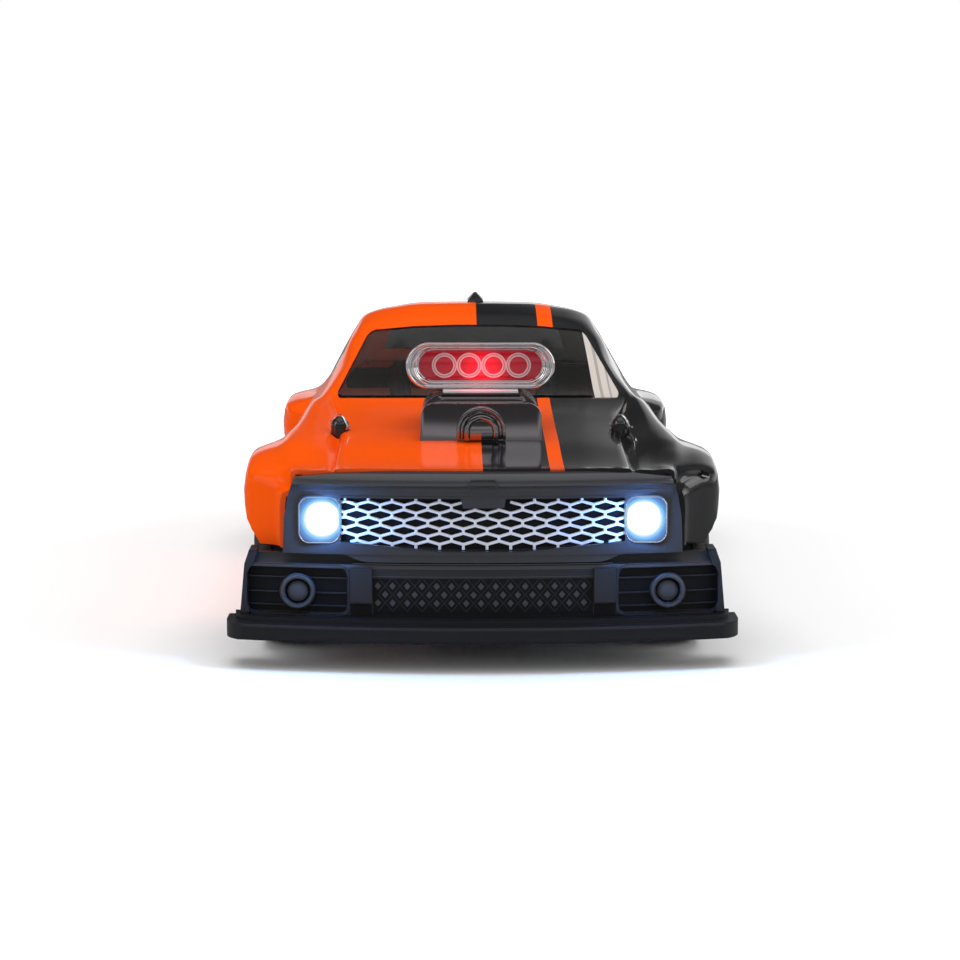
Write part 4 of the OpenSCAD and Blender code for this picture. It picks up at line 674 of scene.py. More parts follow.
def prism(outline, axis, a, b, name="cutter"):  # a closed slab: an outline in (u, z), pushed from a to b along axis
    n = len(outline)
    verts = []
    for depth in (a, b):
        for u, z in outline:
            verts.append({"y": (u, depth, z), "x": (depth, u, z), "z": (u, z, depth)}[axis])
    faces = [tuple(range(n - 1, -1, -1)), tuple(range(n, 2 * n))]
    faces += [(i, (i + 1) % n, n + (i + 1) % n, n + i) for i in range(n)]
    ob = newObject(name, [Vector(v) * mm for v in verts], faces, [], smooth=False)
    recalc(ob)
    return ob


def rect(a, b, low, high):
    return [(a, low), (b, low), (b, high), (a, high)]


def recalc(ob):  # one skin, facing outwards
    bm = bmesh.new()
    bm.from_mesh(ob.data)
    bmesh.ops.remove_doubles(bm, verts=bm.verts, dist=1e-7)
    bmesh.ops.recalc_face_normals(bm, faces=bm.faces)
    bm.to_mesh(ob.data)
    bm.free()
    return ob


def roundedLoop(corners, r, steps=6):  # a closed outline with each corner rounded
    out = []
    n = len(corners)
    for i in range(n):
        p = np.array(corners[i], float)
        a, b = np.array(corners[i - 1], float), np.array(corners[(i + 1) % n], float)
        rr = r[i] if isinstance(r, (list, tuple)) else r
        u, v = (a - p) / np.linalg.norm(a - p), (b - p) / np.linalg.norm(b - p)
        half = math.acos(max(-1, min(1, float(u @ v)))) / 2
        if rr <= 0 or half > 1.55:
            out.append(tuple(p))
            continue
        cut = min(rr / math.tan(half), 0.48 * np.linalg.norm(a - p), 0.48 * np.linalg.norm(b - p))
        rr = cut * math.tan(half)
        centre = p + (u + v) / np.linalg.norm(u + v) * rr / math.sin(half)
        s, e = p + u * cut - centre, p + v * cut - centre
        a0 = math.atan2(s[1], s[0])
        turn = (math.atan2(e[1], e[0]) - a0 + math.pi) % (2 * math.pi) - math.pi
        for k in range(steps + 1):
            w = a0 + turn * k / steps
            out.append((centre[0] + rr * math.cos(w), centre[1] + rr * math.sin(w)))
    return out


def cut(ob, cutters, kind="DIFFERENCE"):
    for c in cutters:
        m = ob.modifiers.new("cut", "BOOLEAN")
        m.operation, m.object, m.solver = kind, c, "MANIFOLD"
    bake(ob)
    for c in cutters:
        bpy.data.objects.remove(c)
    return ob


def circle(cx, cz, r, steps=48, start=0.0):
    return [(cx + r * math.cos(start + k * 2 * math.pi / steps), cz + r * math.sin(start + k * 2 * math.pi / steps))
            for k in range(steps)]


glass = {"corner": 2.5, "gap": 0.15, "thick": 0.6, "low": 60.0, "top": 78.4, "side": (30, 56), "sideLow": 62.6}


def windowCutters(g):  # the screen, the two windows of each side, the rear window; g is the gap left round a pane
    r = glass["corner"] - g
    low, top, bottom = glass["low"], glass["top"], glass["sideLow"] + g
    right = [(42.6, low, 1.2), (33.6, top - 1.6, 4.2), (20, top - 0.4, 3), (7, top, 3)]
    points = right + [(-x, z, rr) for x, z, rr in reversed(right)]
    screen = roundedLoop([(math.copysign(abs(x) - g, x), z + (-g if z > 65 else g)) for x, z, rr in points],
                         [rr - g if i in (0, 1, 6, 7) else 0 for i, (x, z, rr) in enumerate(points)])
    out = [prism(screen, "y", -50, 27)]
    for s in (-1, 1):
        a, b = (s * v for v in glass["side"])
        quarter = roundedLoop([(4 + g, bottom), (19, 72.6 - g), (38 - g, 74.2 - g), (38 - g, bottom)], r)
        back = roundedLoop([(43 + g, bottom), (43 + g, 74.2 - g), (58, 73 - g), (74 - g, bottom)], r)
        out += [prism(quarter, "x", a, b), prism(back, "x", a, b)]
    rear = roundedLoop([(-32 + g, 104 - g), (32 - g, 104 - g), (27 - g, 80 + g), (-27 + g, 80 + g)], r)
    return out + [prism(rear, "z", 60, 90)]


def makeShell(m):
    ob = shellSkin("bodyShell", shell["wall"], [m["shell"], m["shellInside"]])
    cutters = windowCutters(0)
    outside = 80
    flat, gap = shell["archStraight"], shell["mountGap"]
    for a in (fa, ra):
        cutters.append(prism(circle(a, shell["archCentre"], shell["archRadius"], 72), "x", -outside, outside))
        cutters.append(prism(rect(a - flat, a + flat, -1, shell["archTop"]), "x", -outside, outside))
    noseEnd, noseTop = shell["noseCut"]
    tailStart, tailTop = shell["tailCut"]
    cutters.append(prism(rect(y0 - 20, fa + noseEnd, 0, noseTop), "x", -outside, outside))
    cutters.append(prism(rect(ra + tailStart, y1 + 30, 0, tailTop), "x", -outside, outside))
    w, f = blower["half"] + gap, blower["front"] - gap
    cutters.append(prism(rect(-w, w, f, f + blower["length"] + 2 * gap), "z", 48, 62))
    for x, y in postSpots:
        cutters.append(prism(circle(x, y, posts["radius"] + gap, 32), "z", 40, 80))
    cut(ob, cutters)
    smoothByAngle(ob, 38)
    finish(ob, "body_shell")
    panes = shellSkin("windowPanes", glass["thick"], [m["glazing"]])
    both, *others = windowCutters(glass["gap"])
    cut(panes, [cut(both, others, "UNION")], "INTERSECT")
    smoothByAngle(panes, 38)
    finish(panes, "windows")
    print("shell and panes ready")


def makePlainParts(m):
    finishes = {
        "chassis_tub": "nylon", "front_bulkhead": "grey", "gearbox": "grey", "shock_towers": "nylon",
        "body_mounts": "grey", "motor": "can", "steering_servo": "case", "receiver_esc": "case",
        "battery_pack": "wrap", "rear_bumper": "bumper", "nose_panel": "nose",
        "roof_fin": "post", "coil_springs": "spring", "drag_bar": "nylon",
        "servo_horn": "acetal", "axle_gear": "acetal", "motor_pinion": "brass",
    }
    for c in ("fl", "fr", "rl", "rr"):
        finishes.update({"lower_arm_" + c: "nylon", "rim_" + c: "rim", "upper_link_" + c: "nylon",
                         "shock_cylinder_" + c: "alu", "shock_rod_" + c: "steel"})
    for c in ("fl", "fr"):
        finishes.update({"c_hub_" + c: "nylon", "knuckle_" + c: "steel"})
    for c in ("rl", "rr"):
        finishes.update({"rear_upright_" + c: "nylon", "half_shaft_" + c: "steel"})
    plain = ("coil_springs", "axle_gear", "motor_pinion", "chassis_tub")  # no room for rounded edges
    for name, finishName in finishes.items():
        dressed(name, m[finishName], edge=0 if name in plain else 0.14)
    print("hard parts dressed")


def join(name, parts):  # several meshes as one object
    bm = bmesh.new()
    mats = []
    for p in parts:
        start = len(bm.faces)
        bm.from_mesh(p.data)
        bm.faces.ensure_lookup_table()
        slots = []
        for mt in p.data.materials:
            if mt not in mats:
                mats.append(mt)
            slots.append(mats.index(mt))
        for f in bm.faces[start:]:
            f.material_index = slots[min(f.material_index, len(slots) - 1)] if slots else 0
    mesh = bpy.data.meshes.new(name)
    bm.to_mesh(mesh)
    bm.free()
    for mt in mats:
        mesh.materials.append(mt)
    for p in parts:
        bpy.data.objects.remove(p)
    ob = bpy.data.objects.new(name, mesh)
    bpy.context.scene.collection.objects.link(ob)
    return ob


def bevelled(ob, width):
    b = ob.modifiers.new("edge", "BEVEL")
    b.width, b.segments, b.limit_method, b.angle_limit = width * mm, 2, "ANGLE", math.radians(30)
    bake(ob)
    smoothByAngle(ob, 35)
    return ob


def slab(name, outline, a, b, mat, width=0.3):  # an outline in (x, z), from a to b along Y
    ob = prism(outline, "y", a, b, name)
    ob.data.materials.append(mat)
    return bevelled(ob, width) if width else ob


def mirroredX(ob, name):
    mesh = ob.data.copy()
    mesh.transform(Matrix.Diagonal((-1, 1, 1, 1)))
    mesh.flip_normals()
    other = bpy.data.objects.new(name, mesh)
    bpy.context.scene.collection.objects.link(other)
    return other


def sweepBetween(name, inner, outer, profile, mat, closed=True):
    # profile (t, y, drop): t goes from the outer path (0) to the inner one (1)
    n, k = len(outer), len(profile)
    verts = [((o[0] + (i[0] - o[0]) * t), y, (o[1] + (i[1] - o[1]) * t) - drop)
             for t, y, drop in profile for i, o in zip(inner, outer)]
    faces = [(a * n + j, a * n + (j + 1) % n, ((a + 1) % k) * n + (j + 1) % n, ((a + 1) % k) * n + j)
             for a in range(k if closed else k - 1) for j in range(n)]
    if not closed:
        faces += [tuple(range(n)), tuple(range((k - 1) * n, k * n))]
    ob = recalc(newObject(name, [Vector(v) * mm for v in verts], faces, [mat]))
    smoothByAngle(ob, 50)
    return ob


def stadiumPath(half, r, z, steps=40):  # a loop with two half round ends
    out = []
    for s, start in ((1, -90), (-1, 90)):
        for k in range(steps + 1):
            a = math.radians(start + 180 * k / steps)
            out.append((s * (half - r) + r * math.cos(a), z + r * math.sin(a)))
    return out


def lathe(name, profile, centre, axis, mat, steps=64):
    # a closed profile (radius, along), turned round an axis through centre
    k = len(profile)
    verts = []
    for i in range(steps):
        a = 2 * math.pi * i / steps
        c, s = math.cos(a), math.sin(a)
        for r, d in profile:
            p = {"x": (d, r * c, r * s), "y": (r * c, d, r * s), "z": (r * c, r * s, d)}[axis]
            verts.append([centre[j] + p[j] for j in range(3)])
    faces = [(i * k + j, i * k + (j + 1) % k, ((i + 1) % steps) * k + (j + 1) % k, ((i + 1) % steps) * k + j)
             for i in range(steps) for j in range(k)]
    ob = recalc(newObject(name, [Vector(v) * mm for v in verts], faces, [mat]))
    smoothByAngle(ob, 38)
    return ob


def tube(name, points, r, mat, sides=3):  # a round wire through points
    curve = bpy.data.curves.new(name, "CURVE")
    curve.dimensions = "3D"
    curve.bevel_depth, curve.bevel_resolution, curve.use_fill_caps = r * mm, sides, True
    line = curve.splines.new("POLY")
    line.points.add(len(points) - 1)
    for p, v in zip(line.points, points):
        p.co = (*(Vector(v) * mm), 1)
    ob = bpy.data.objects.new(name, curve)
    bpy.context.scene.collection.objects.link(ob)
    mesh = bpy.data.meshes.new_from_object(ob.evaluated_get(bpy.context.evaluated_depsgraph_get()))
    bpy.data.objects.remove(ob)
    mesh.materials.clear()
    mesh.materials.append(mat)
    new = bpy.data.objects.new(name, mesh)
    bpy.context.scene.collection.objects.link(new)
    smoothByAngle(new, 50)
    return new


bow = {"centre": 116.5, "nose": 250.0, "face": 248.4}  # radii seen from above, and where they turn


def bowY(x, r):
    return bow["centre"] - math.sqrt(r * r - x * x)


def asFunction(v):
    return v if callable(v) else (lambda x: v)


def bowedBlock(name, x0, x1, low, high, front, back, mat, n=12):
    # a block between two radii of the nose bow; low and high are heights, plain or as functions of x
    low, high = asFunction(low), asFunction(high)
    verts = []
    for x in np.linspace(x0, x1, n + 1):
        a = front(x) if callable(front) else bowY(x, front)
        b = back(x) if callable(back) else bowY(x, back)
        verts += [(x, a, low(x)), (x, a, high(x)), (x, b, high(x)), (x, b, low(x))]
    faces = [(0, 1, 2, 3), (4 * n, 4 * n + 3, 4 * n + 2, 4 * n + 1)]
    for i in range(n):
        for j in range(4):
            faces.append((4 * i + j, 4 * i + (j + 1) % 4, 4 * i + 4 + (j + 1) % 4, 4 * i + 4 + j))
    return recalc(newObject(name, [Vector(v) * mm for v in verts], faces, [mat] if mat else [], smooth=False))


def barOfRings(name, rings):  # a small closed piece between two loops of points in mm, one outlined as the other
    n = len(rings[0])
    verts = [Vector(p) * mm for ring in rings for p in ring]
    faces = [tuple(range(n)), tuple(range(n, 2 * n))]
    faces += [(i, (i + 1) % n, n + (i + 1) % n, n + i) for i in range(n)]
    return recalc(newObject(name, verts, faces, [], smooth=False))


# One tree sets copies of a piece on points; each point carries its own turn and stretch.
def copiesTree():
    tree = bpy.data.node_groups.new("copiesOnPoints", "GeometryNodeTree")
    face = tree.interface
    face.new_socket("Points", in_out="INPUT", socket_type="NodeSocketGeometry")
    keys = {"piece": face.new_socket("Piece", in_out="INPUT", socket_type="NodeSocketObject").identifier,
            "size": face.new_socket("Size", in_out="INPUT", socket_type="NodeSocketFloat").identifier,
            "finish": face.new_socket("Finish", in_out="INPUT", socket_type="NodeSocketMaterial").identifier}
    face.new_socket("Geometry", in_out="OUTPUT", socket_type="NodeSocketGeometry")
    given, out = node(tree, "NodeGroupInput"), node(tree, "NodeGroupOutput")
    piece = node(tree, "GeometryNodeObjectInfo")
    on = node(tree, "GeometryNodeInstanceOnPoints")
    turn = node(tree, "GeometryNodeInputNamedAttribute", data_type="FLOAT_VECTOR")
    turn.inputs["Name"].default_value = "turn"
    euler = node(tree, "FunctionNodeEulerToRotation")
    stretch = node(tree, "GeometryNodeInputNamedAttribute", data_type="FLOAT_VECTOR")
    stretch.inputs["Name"].default_value = "stretch"
    scaled = node(tree, "ShaderNodeVectorMath", operation="SCALE")
    solid = node(tree, "GeometryNodeRealizeInstances")
    finishNode = node(tree, "GeometryNodeSetMaterial")
    link = tree.links.new
    link(given.outputs["Points"], on.inputs["Points"])
    link(given.outputs["Piece"], piece.inputs["Object"])
    link(piece.outputs["Geometry"], on.inputs["Instance"])
    link(turn.outputs["Attribute"], euler.inputs[0])
    link(euler.outputs[0], on.inputs["Rotation"])
    link(stretch.outputs["Attribute"], scaled.inputs[0])
    link(given.outputs["Size"], scaled.inputs["Scale"])
    link(scaled.outputs[0], on.inputs["Scale"])
    link(on.outputs[0], solid.inputs[0])
    link(solid.outputs[0], finishNode.inputs["Geometry"])
    link(given.outputs["Finish"], finishNode.inputs["Material"])
    link(finishNode.outputs[0], out.inputs[0])
    return tree, keys


def copies(name, piece, spots, mat):  # spots: (place in mm, turn in degrees, stretch)
    mesh = bpy.data.meshes.new(name)
    mesh.from_pydata([Vector(p) * mm for p, r, k in spots], [], [])
    for key, pick in (("turn", lambda q: [math.radians(v) for v in q[1]]), ("stretch", lambda q: q[2])):
        attribute = mesh.attributes.new(key, "FLOAT_VECTOR", "POINT")
        attribute.data.foreach_set("vector", [v for q in spots for v in pick(q)])
    ob = bpy.data.objects.new(name, mesh)
    bpy.context.scene.collection.objects.link(ob)
    m = ob.modifiers.new("copies", "NODES")
    m.node_group = repeat[0]
    m[repeat[1]["piece"]] = piece
    m[repeat[1]["size"]] = 1.0
    m[repeat[1]["finish"]] = mat
    bake(ob)
    bpy.data.objects.remove(piece)
    return ob


comb = {"pitch": 6.07, "row": 2.02, "side": 1.15, "bar": 0.72, "deep": 0.85, "firstX": 1.0, "firstZ": 43.77, "rows": 7,
        "half": 36.3, "top": 44.6, "low": 30.5, "sideLow": 32.9, "flat": 10,  # the opening, whose foot rises past flat
        "catch": (6.6, 42.2, 0.6)}  # half width, foot and middle of the place kept free for the catch


def clipSegment(a, b, planes):  # the part of a-b on the inner side of every line (nx, nz, limit)
    t0, t1 = 0.0, 1.0
    for nx, nz, limit in planes:
        da, db = nx * a[0] + nz * a[1] - limit, nx * b[0] + nz * b[1] - limit
        if da > 0 and db > 0:
            return None
        if da > 0 or db > 0:
            t = da / (da - db)
            if da > 0:
                t0 = max(t0, t)
            else:
                t1 = min(t1, t)
    if t1 <= t0:
        return None
    lerp = lambda t: (a[0] + (b[0] - a[0]) * t, a[1] + (b[1] - a[1]) * t)
    return lerp(t0), lerp(t1)


def makeUpperGrille(m):
    c = comb
    rise = (c["sideLow"] - c["low"]) / (c["half"] - c["flat"])
    n = math.hypot(1, rise)
    limit = (c["flat"] * rise - c["low"]) / n
    planes = [(1, 0, c["half"]), (-1, 0, c["half"]), (0, 1, c["top"]), (0, -1, -c["low"]),
              (rise / n, -1 / n, limit), (-rise / n, -1 / n, limit)]
    lines = []
    for k in range(c["rows"]):
        z = c["firstZ"] - c["row"] * k
        for i in range(-8, 9):
            x = c["firstX"] + (k % 2) * c["pitch"] / 2 + i * c["pitch"]
            lines.append(((x, z - c["side"] / 2), (x, z + c["side"] / 2)))
            for s in (-1, 1) if k < c["rows"] - 1 else ():  # the two slants under this upright
                lines.append(((x, z - c["side"] / 2), (x + s * c["pitch"] / 2, z - c["row"] + c["side"] / 2)))
    spots = []
    free, freeLow, freeX = c["catch"]
    for a, b in filter(None, [clipSegment(a, b, planes) for a, b in lines]):
        x, z = (a[0] + b[0]) / 2, (a[1] + b[1]) / 2
        long = math.hypot(b[0] - a[0], b[1] - a[1])
        if long < 0.3 or (z > freeLow and abs(x - freeX) < free):
            continue
        y = bowY(x, bow["nose"] - 2.4) - 0.15 - c["deep"] / 2
        lean = math.degrees(math.asin(x / bow["nose"]))
        tilt = math.degrees(math.atan2(b[1] - a[1], b[0] - a[0]))
        spots.append(((x, y, z), (0, -tilt, lean), (long + c["bar"] * 0.5, 1, 1)))
    w, d = c["bar"] / 2, c["deep"] / 2
    ring = [(-d, -w * 0.62), (-d * 0.72, -w), (d, -w), (d, w), (-d * 0.72, w), (-d, w * 0.62)]
    bar = barOfRings("combBar", [[(x, y, z) for y, z in ring] for x in (-0.5, 0.5)])
    finish(copies("combBars", bar, spots, m["grille"]), "upper_grille")
    foot = lambda x: 30.9 + max(0.0, abs(x) - 8) * 0.07
    notch = lambda x: 41.75 if abs(x - 0.1) < 5.6 else 44.2
    trim = [bowedBlock("combFloor", -36.3, 36.3, foot, 44.15, 247.7, 247.2, m["recess"], 24),
            bowedBlock("combLip", -36.4, 36.4, 44.25, 44.75, 250.15, 249.0, m["nose"], 24),
            bowedBlock("combBlank", -7.2, 7.4, notch, 44.7, 249.9, 247.4, m["nose"], 29)]
    finish(join("combTrim", trim), [], "chassis")
    print("honeycomb ready:", len(spots), "bars")


ridges = {"rows": (47.5, 46.2), "lift": 1.5, "wire": 0.24, "ends": ((-47.2, -0.4), (-45.6, -0.1)), "step": (-3.9, -3.0)}
lamp = {"x": 42.0, "z": 38.4, "wide": 10.9, "high": 12.3, "corner": 2.85, "front": -129.6, "back": -123.3,
        "core": 4.4, "coreX": 41.4, "coreZ": 38.5, "glass": (0.72, 0.32)}


def makeRidges(m):  # two fine ridges that step up over the catch
    wires = []
    out, up = ridges["step"]
    for z in ridges["rows"]:
        lifted = z + ridges["lift"]
        half = [(x, z + dz) for x, dz in ridges["ends"]] + [(x, z) for x in np.linspace(-43, -5, 14)]
        half += [(out, z), (up, lifted), (-2.0, lifted), (0, lifted)]
        line = half + [(-x, zz) for x, zz in reversed(half[:-1])]
        points = [(x, bowY(x, bow["nose"] - (0.5 if zz > 48.4 else 0.12)), zz) for x, zz in line]
        wires.append(tube("ridge", points, ridges["wire"], m["nose"], 2))
    return wires


def makeNose(m):
    apron = lambda x: 27.6 + max(0.0, abs(x) - 31) * 0.42
    skirt = bowedBlock("apron", -36, 36, apron, lambda x: max(29.9, apron(x) + 0.1), 249.6, 246.0, m["nose"], 36)
    finish(join("noseTrim", makeRidges(m) + [skirt]), [], "chassis")
    # the lamps: a bowl with painted glow round a lit core, a clear cover with a raised edge
    x, z, r, front, back = (lamp[k] for k in ("x", "z", "core", "front", "back"))
    w, h = lamp["wide"] / 2, lamp["high"] / 2
    outer = roundedLoop(rect(x - w, x + w, z - h, z + h), lamp["corner"], 12)
    inner = []
    for px, pz in outer:
        a = math.atan2(pz - z, px - x)
        inner.append((lamp["coreX"] + r * math.cos(a), lamp["coreZ"] + r * math.sin(a)))
    paintedGlowBowl = sweepBetween("lampBowl", inner, outer, [
        (0, front + 0.05, 0), (0.06, front - 0.02, 0), (0.55, front + 0.35, 0), (0.9, front + 0.6, 0),
        (1.0, front + 0.8, 0), (1.12, front + 2.0, 0), (1.12, back, 0), (0, back, 0)], m["paintedGlowBowl"])
    core = lathe("lampCore", [(0.01, -0.9), (1.5, -0.82), (2.8, -0.55), (3.8, -0.1), (r, 0.7), (r, 2.4), (0.01, 2.4)],
                 (lamp["coreX"], front + 0.55, lamp["coreZ"]), "y", m["lampLit"], 48)
    left = join("headlampLeft", [paintedGlowBowl, core])
    finish(join("headlamps", [left, mirroredX(left, "headlampRight")]), "headlight_buckets")
    near, far = lamp["glass"]
    edge = [(x + (px - x) * 0.955, front - near, z + (pz - z) * 0.96) for px, pz in outer]
    inset = [(x + (px - x) * 0.97, z + (pz - z) * 0.97) for px, pz in outer]
    cover = join("coverLeft", [slab("lampPane", inset, front - near, front - far, m["lampClear"], 0),
                               tube("coverEdge", edge + edge[:1], 0.13, m["chrome"], 2)])
    finish(join("lampCovers", [cover, mirroredX(cover, "coverRight")]), "headlight_lenses")
    print("nose and lamps ready")


bumper = {"bay": (34.9, 61.2, 13.7, 25.9), "bayCorner": 2.4, "ribs": (22.9, 19.0, 15.6), "fog": (47.9, 19.4, 4.65),
          "bracket": (31.4, 2.85, 16.6, 25.7), "bandLines": ((27.0, 0.3), (23.75, 0.22)), "band": (60.2, 25.6, 26.7)}
lattice = {"half": 28.3, "z": 19.1, "pitch": 3.79, "row": 2.2, "shift": -0.54, "low": 14.4, "high": 22.6,
           "pad": (1.02, 1.18, 0.8)}  # half width, half height, and how much of them the top keeps


def roundedSpan(x0, x1, z0, z1, r):  # lower and upper edge of a rounded window, as functions of x
    def inset(x):
        d = min(x - x0, x1 - x)
        return r - math.sqrt(max(0.0, r * r - (r - d) ** 2)) if d < r else 0.0
    return (lambda x: z0 + inset(x)), (lambda x: z1 - inset(x))


def makeBay(m, base, s):  # the lamp pocket on one side: a hole in the base, its floor, ribs, frame and fog lamp
    x0, x1, z0, z1 = bumper["bay"]
    face = bow["face"]
    e0, e1 = (x0, x1) if s > 0 else (-x1, -x0)
    low, high = roundedSpan(e0, e1, z0, z1, bumper["bayCorner"])
    hole = bowedBlock("bayHole", e0 + 0.001, e1 - 0.001, low, high, lambda x: -150.0, face - 1.7, None, 40)
    cut(base, [hole])
    # the pocket's floor is the deepest black: painted shade in the recess
    parts = [bowedBlock("bayFloor", e0 + 0.3, e1 - 0.3, z0 + 0.3, z1 - 0.3, face - 1.6, face - 2.3, m["recess"], 20)]
    for z in bumper["ribs"]:
        low, high = z - 0.16, z + 0.16
        parts.append(bowedBlock("bayRib", e0 + 0.2, e1 - 0.2, low, high, face - 1.1, face - 2.0, m["bumper"], 14))
    low, high = roundedSpan(e0 - 1.0, e1 + 1.0, z0 - 1.0, z1 + 1.0, 3.2)
    loop = [(x, high(x) - 0.5) for x in np.linspace(e0 - 0.5, e1 + 0.5, 40)]
    loop += [(x, low(x) + 0.5) for x in np.linspace(e1 + 0.5, e0 - 0.5, 40)]
    parts.append(tube("bayFrame", [(x, bowY(x, face - 0.15), z) for x, z in loop + loop[:1]], 0.28, m["bumper"], 3))
    x, z, r = bumper["fog"]
    place = (s * x, bowY(x, face), z)
    parts.append(lathe("fogRing", [(r, 2.2), (r, -0.1), (r - 0.18, -0.75), (r - 0.55, -1.1), (r - 1.0, -1.05),
                                   (r - 1.3, -0.6), (r - 1.4, 0.2), (r - 1.45, 2.2)], place, "y", m["satin"], 56))
    parts.append(lathe("fogDome", [(0.01, -0.35), (1.3, -0.28), (2.3, 0.0), (2.7, 0.35), (2.75, 2.2), (0.01, 2.2)],
                       place, "y", m["satin"], 40))
    x, half, z0, z1 = bumper["bracket"]
    x *= s
    bracket = bowedBlock("bracket", x - half, x + half, z0, z1, face + 1.0, face - 1.0, m["bumper"], 4)
    parts.append(bevelled(bracket, 0.4))
    parts.append(bowedBlock("bracketShade", x - 2.8, x + 2.8, 13.6, 16.4, face + 0.12, face - 1.0, m["recess"], 4))
    return parts


def makeLattice(m):  # raised diamonds with a crossed web of thin bars between them
    c, face = lattice, bow["face"]
    u, v, kept = c["pad"]
    outline = [(-u, 0), (0, -v), (u, 0), (0, v)]
    pad = barOfRings("diamond", [[(x, 0.3, z) for x, z in outline], [(x * kept, -0.12, z * kept) for x, z in outline]])
    end = ((0.3, -0.13), (0.3, 0.13), (-0.1, 0.08), (-0.1, -0.08))
    strip = barOfRings("crossBar", [[(x, y, z) for y, z in end] for x in (-0.5, 0.5)])
    pads, bars = [], []
    long, tilt = math.hypot(c["pitch"] / 2, c["row"]), math.degrees(math.atan2(c["row"], c["pitch"] / 2))
    lean = lambda x: math.degrees(math.asin(x / face))
    for j in range(-2, 3):
        for i in range(-9, 10):
            x, z = (i + ((j + 1) % 2) / 2) * c["pitch"] + c["shift"], c["z"] + j * c["row"]
            if abs(x) < c["half"] - 0.9 and abs(j) < 2:
                pads.append(((x, bowY(x, face), z), (0, 0, lean(x)), (1, 1, 1)))
            for side in (-1, 1):
                bx, bz = x + side * c["pitch"] / 4, z + c["row"] / 2
                if abs(bx) < c["half"] - 0.8 and c["low"] < bz < c["high"]:
                    bars.append(((bx, bowY(bx, face), bz), (0, side * tilt, lean(bx)), (long, 1, 1)))
    finish(copies("latticePads", pad, pads, m["satin"]), [], "chassis")
    finish(copies("latticeBars", strip, bars, m["bumper"]), [], "chassis")


def makeBumper(m):
    face = bow["face"]
    base = dressed("front_bumper", m["bumper"], 0)
    parts = makeBay(m, base, -1) + makeBay(m, base, 1)
    half = lattice["half"]
    # the lattice's floor is the deepest black: painted shade behind the diamonds
    parts.append(bowedBlock("latticeFloor", -half, half, 13.7, 23.1, face + 0.06, face - 2.2, m["recess"], 30))
    makeLattice(m)
    for z, thick in bumper["bandLines"]:
        low, high = z - thick / 2, z + thick / 2
        parts.append(bowedBlock("bandLine", -33.5, 33.5, low, high, face + 0.12, face - 1.0, m["satin"], 30))
    half, low, high = bumper["band"]
    band = bowedBlock("satinBand", -half, half, low, high, face + 0.1, face - 1.0, m["satin"], 40)
    parts.append(bevelled(band, 0.25))
    finish(join("bumperTrim", parts), [], "chassis")
    print("bumper ready")


blower = {"half": 16.4, "front": -92.0, "length": 34.5, "low": 51.0, "top": 63.9, "cover": 7,
          "mouth": 10.8, "mouthFloor": 65.6, "ribs": 5, "rib": 2.8, "ribPitch": 5, "firstRib": 8.2,
          "archZ": 57.2, "archLow": 54.9,
          "arches": ((5.75, 6.7, 2.6), (4.7, 5.7, 1.7), (3.3, 4.65, 4.2), (0, 3.25, 3.4))}  # radii, and how far out


def horseshoe(r0, r1):  # an arch between two radii, solid where the inner one is 0
    z, low = blower["archZ"], blower["archLow"]
    over = lambda r, a, b: [(r, low)] + [(r * math.cos(w), z + r * math.sin(w)) for w in np.linspace(a, b, 33)]
    out = over(r1, 0, math.pi) + [(-r1, low)]
    return out + ([(-r0, low)] + over(r0, math.pi, 0)[1:] + [(r0, low)] if r0 else [])


def makeBlower(m):
    b = blower
    y, half, top, low, deep = (b[k] for k in ("front", "half", "top", "low", "cover"))
    case = lambda h, z, r: roundedLoop(rect(-h, h, low, z), [0.01, 0.01, r, r], 10)
    hollow = lambda: prism(rect(-b["mouth"], b["mouth"], y + 8, y + 48), "z", b["mouthFloor"], 80)
    parts = [slab("beltCover", case(half, top + 0.6, 3.6), y, y + deep, m["darkChrome"], 0.5)]
    body = slab("caseBody", case(half - 1.4, top + 1.2, 5.6), y + deep - 0.1, y + b["length"], m["darkChrome"], 0.4)
    parts.append(cut(body, [hollow()]))
    for i in range(b["ribs"]):
        start = y + b["firstRib"] + i * b["ribPitch"]
        rib = slab("caseRib", case(half - 0.1, top + 2.5, 6.6), start, start + b["rib"], m["darkChrome"], 0.75)
        parts.append(cut(rib, [hollow()]))
    for ob in parts[1:]:
        smoothByAngle(ob, 40)
    for r0, r1, front in b["arches"]:
        parts.append(slab("arch", horseshoe(r0, r1), y - front, y + 0.9, m["darkChrome"], 0.28))
    parts.append(slab("neck", rect(-10.6, 10.6, 65.5, 66.2), y + 8.3, y + 34, m["recess"], 0.1))
    finish(join("blowerCase", parts), "blower_case")
    print("blower ready")


scoop = {"y": -76.0, "z": 73.45, "half": 20.6, "r": 6.35, "lensHalf": 17.4, "lensR": 4.45,
         "ringPitch": 6.84, "ringX": 0.3, "rings": 4, "ringRadii": (3.28, 2.66), "ringWire": (0.24, 0.14)}
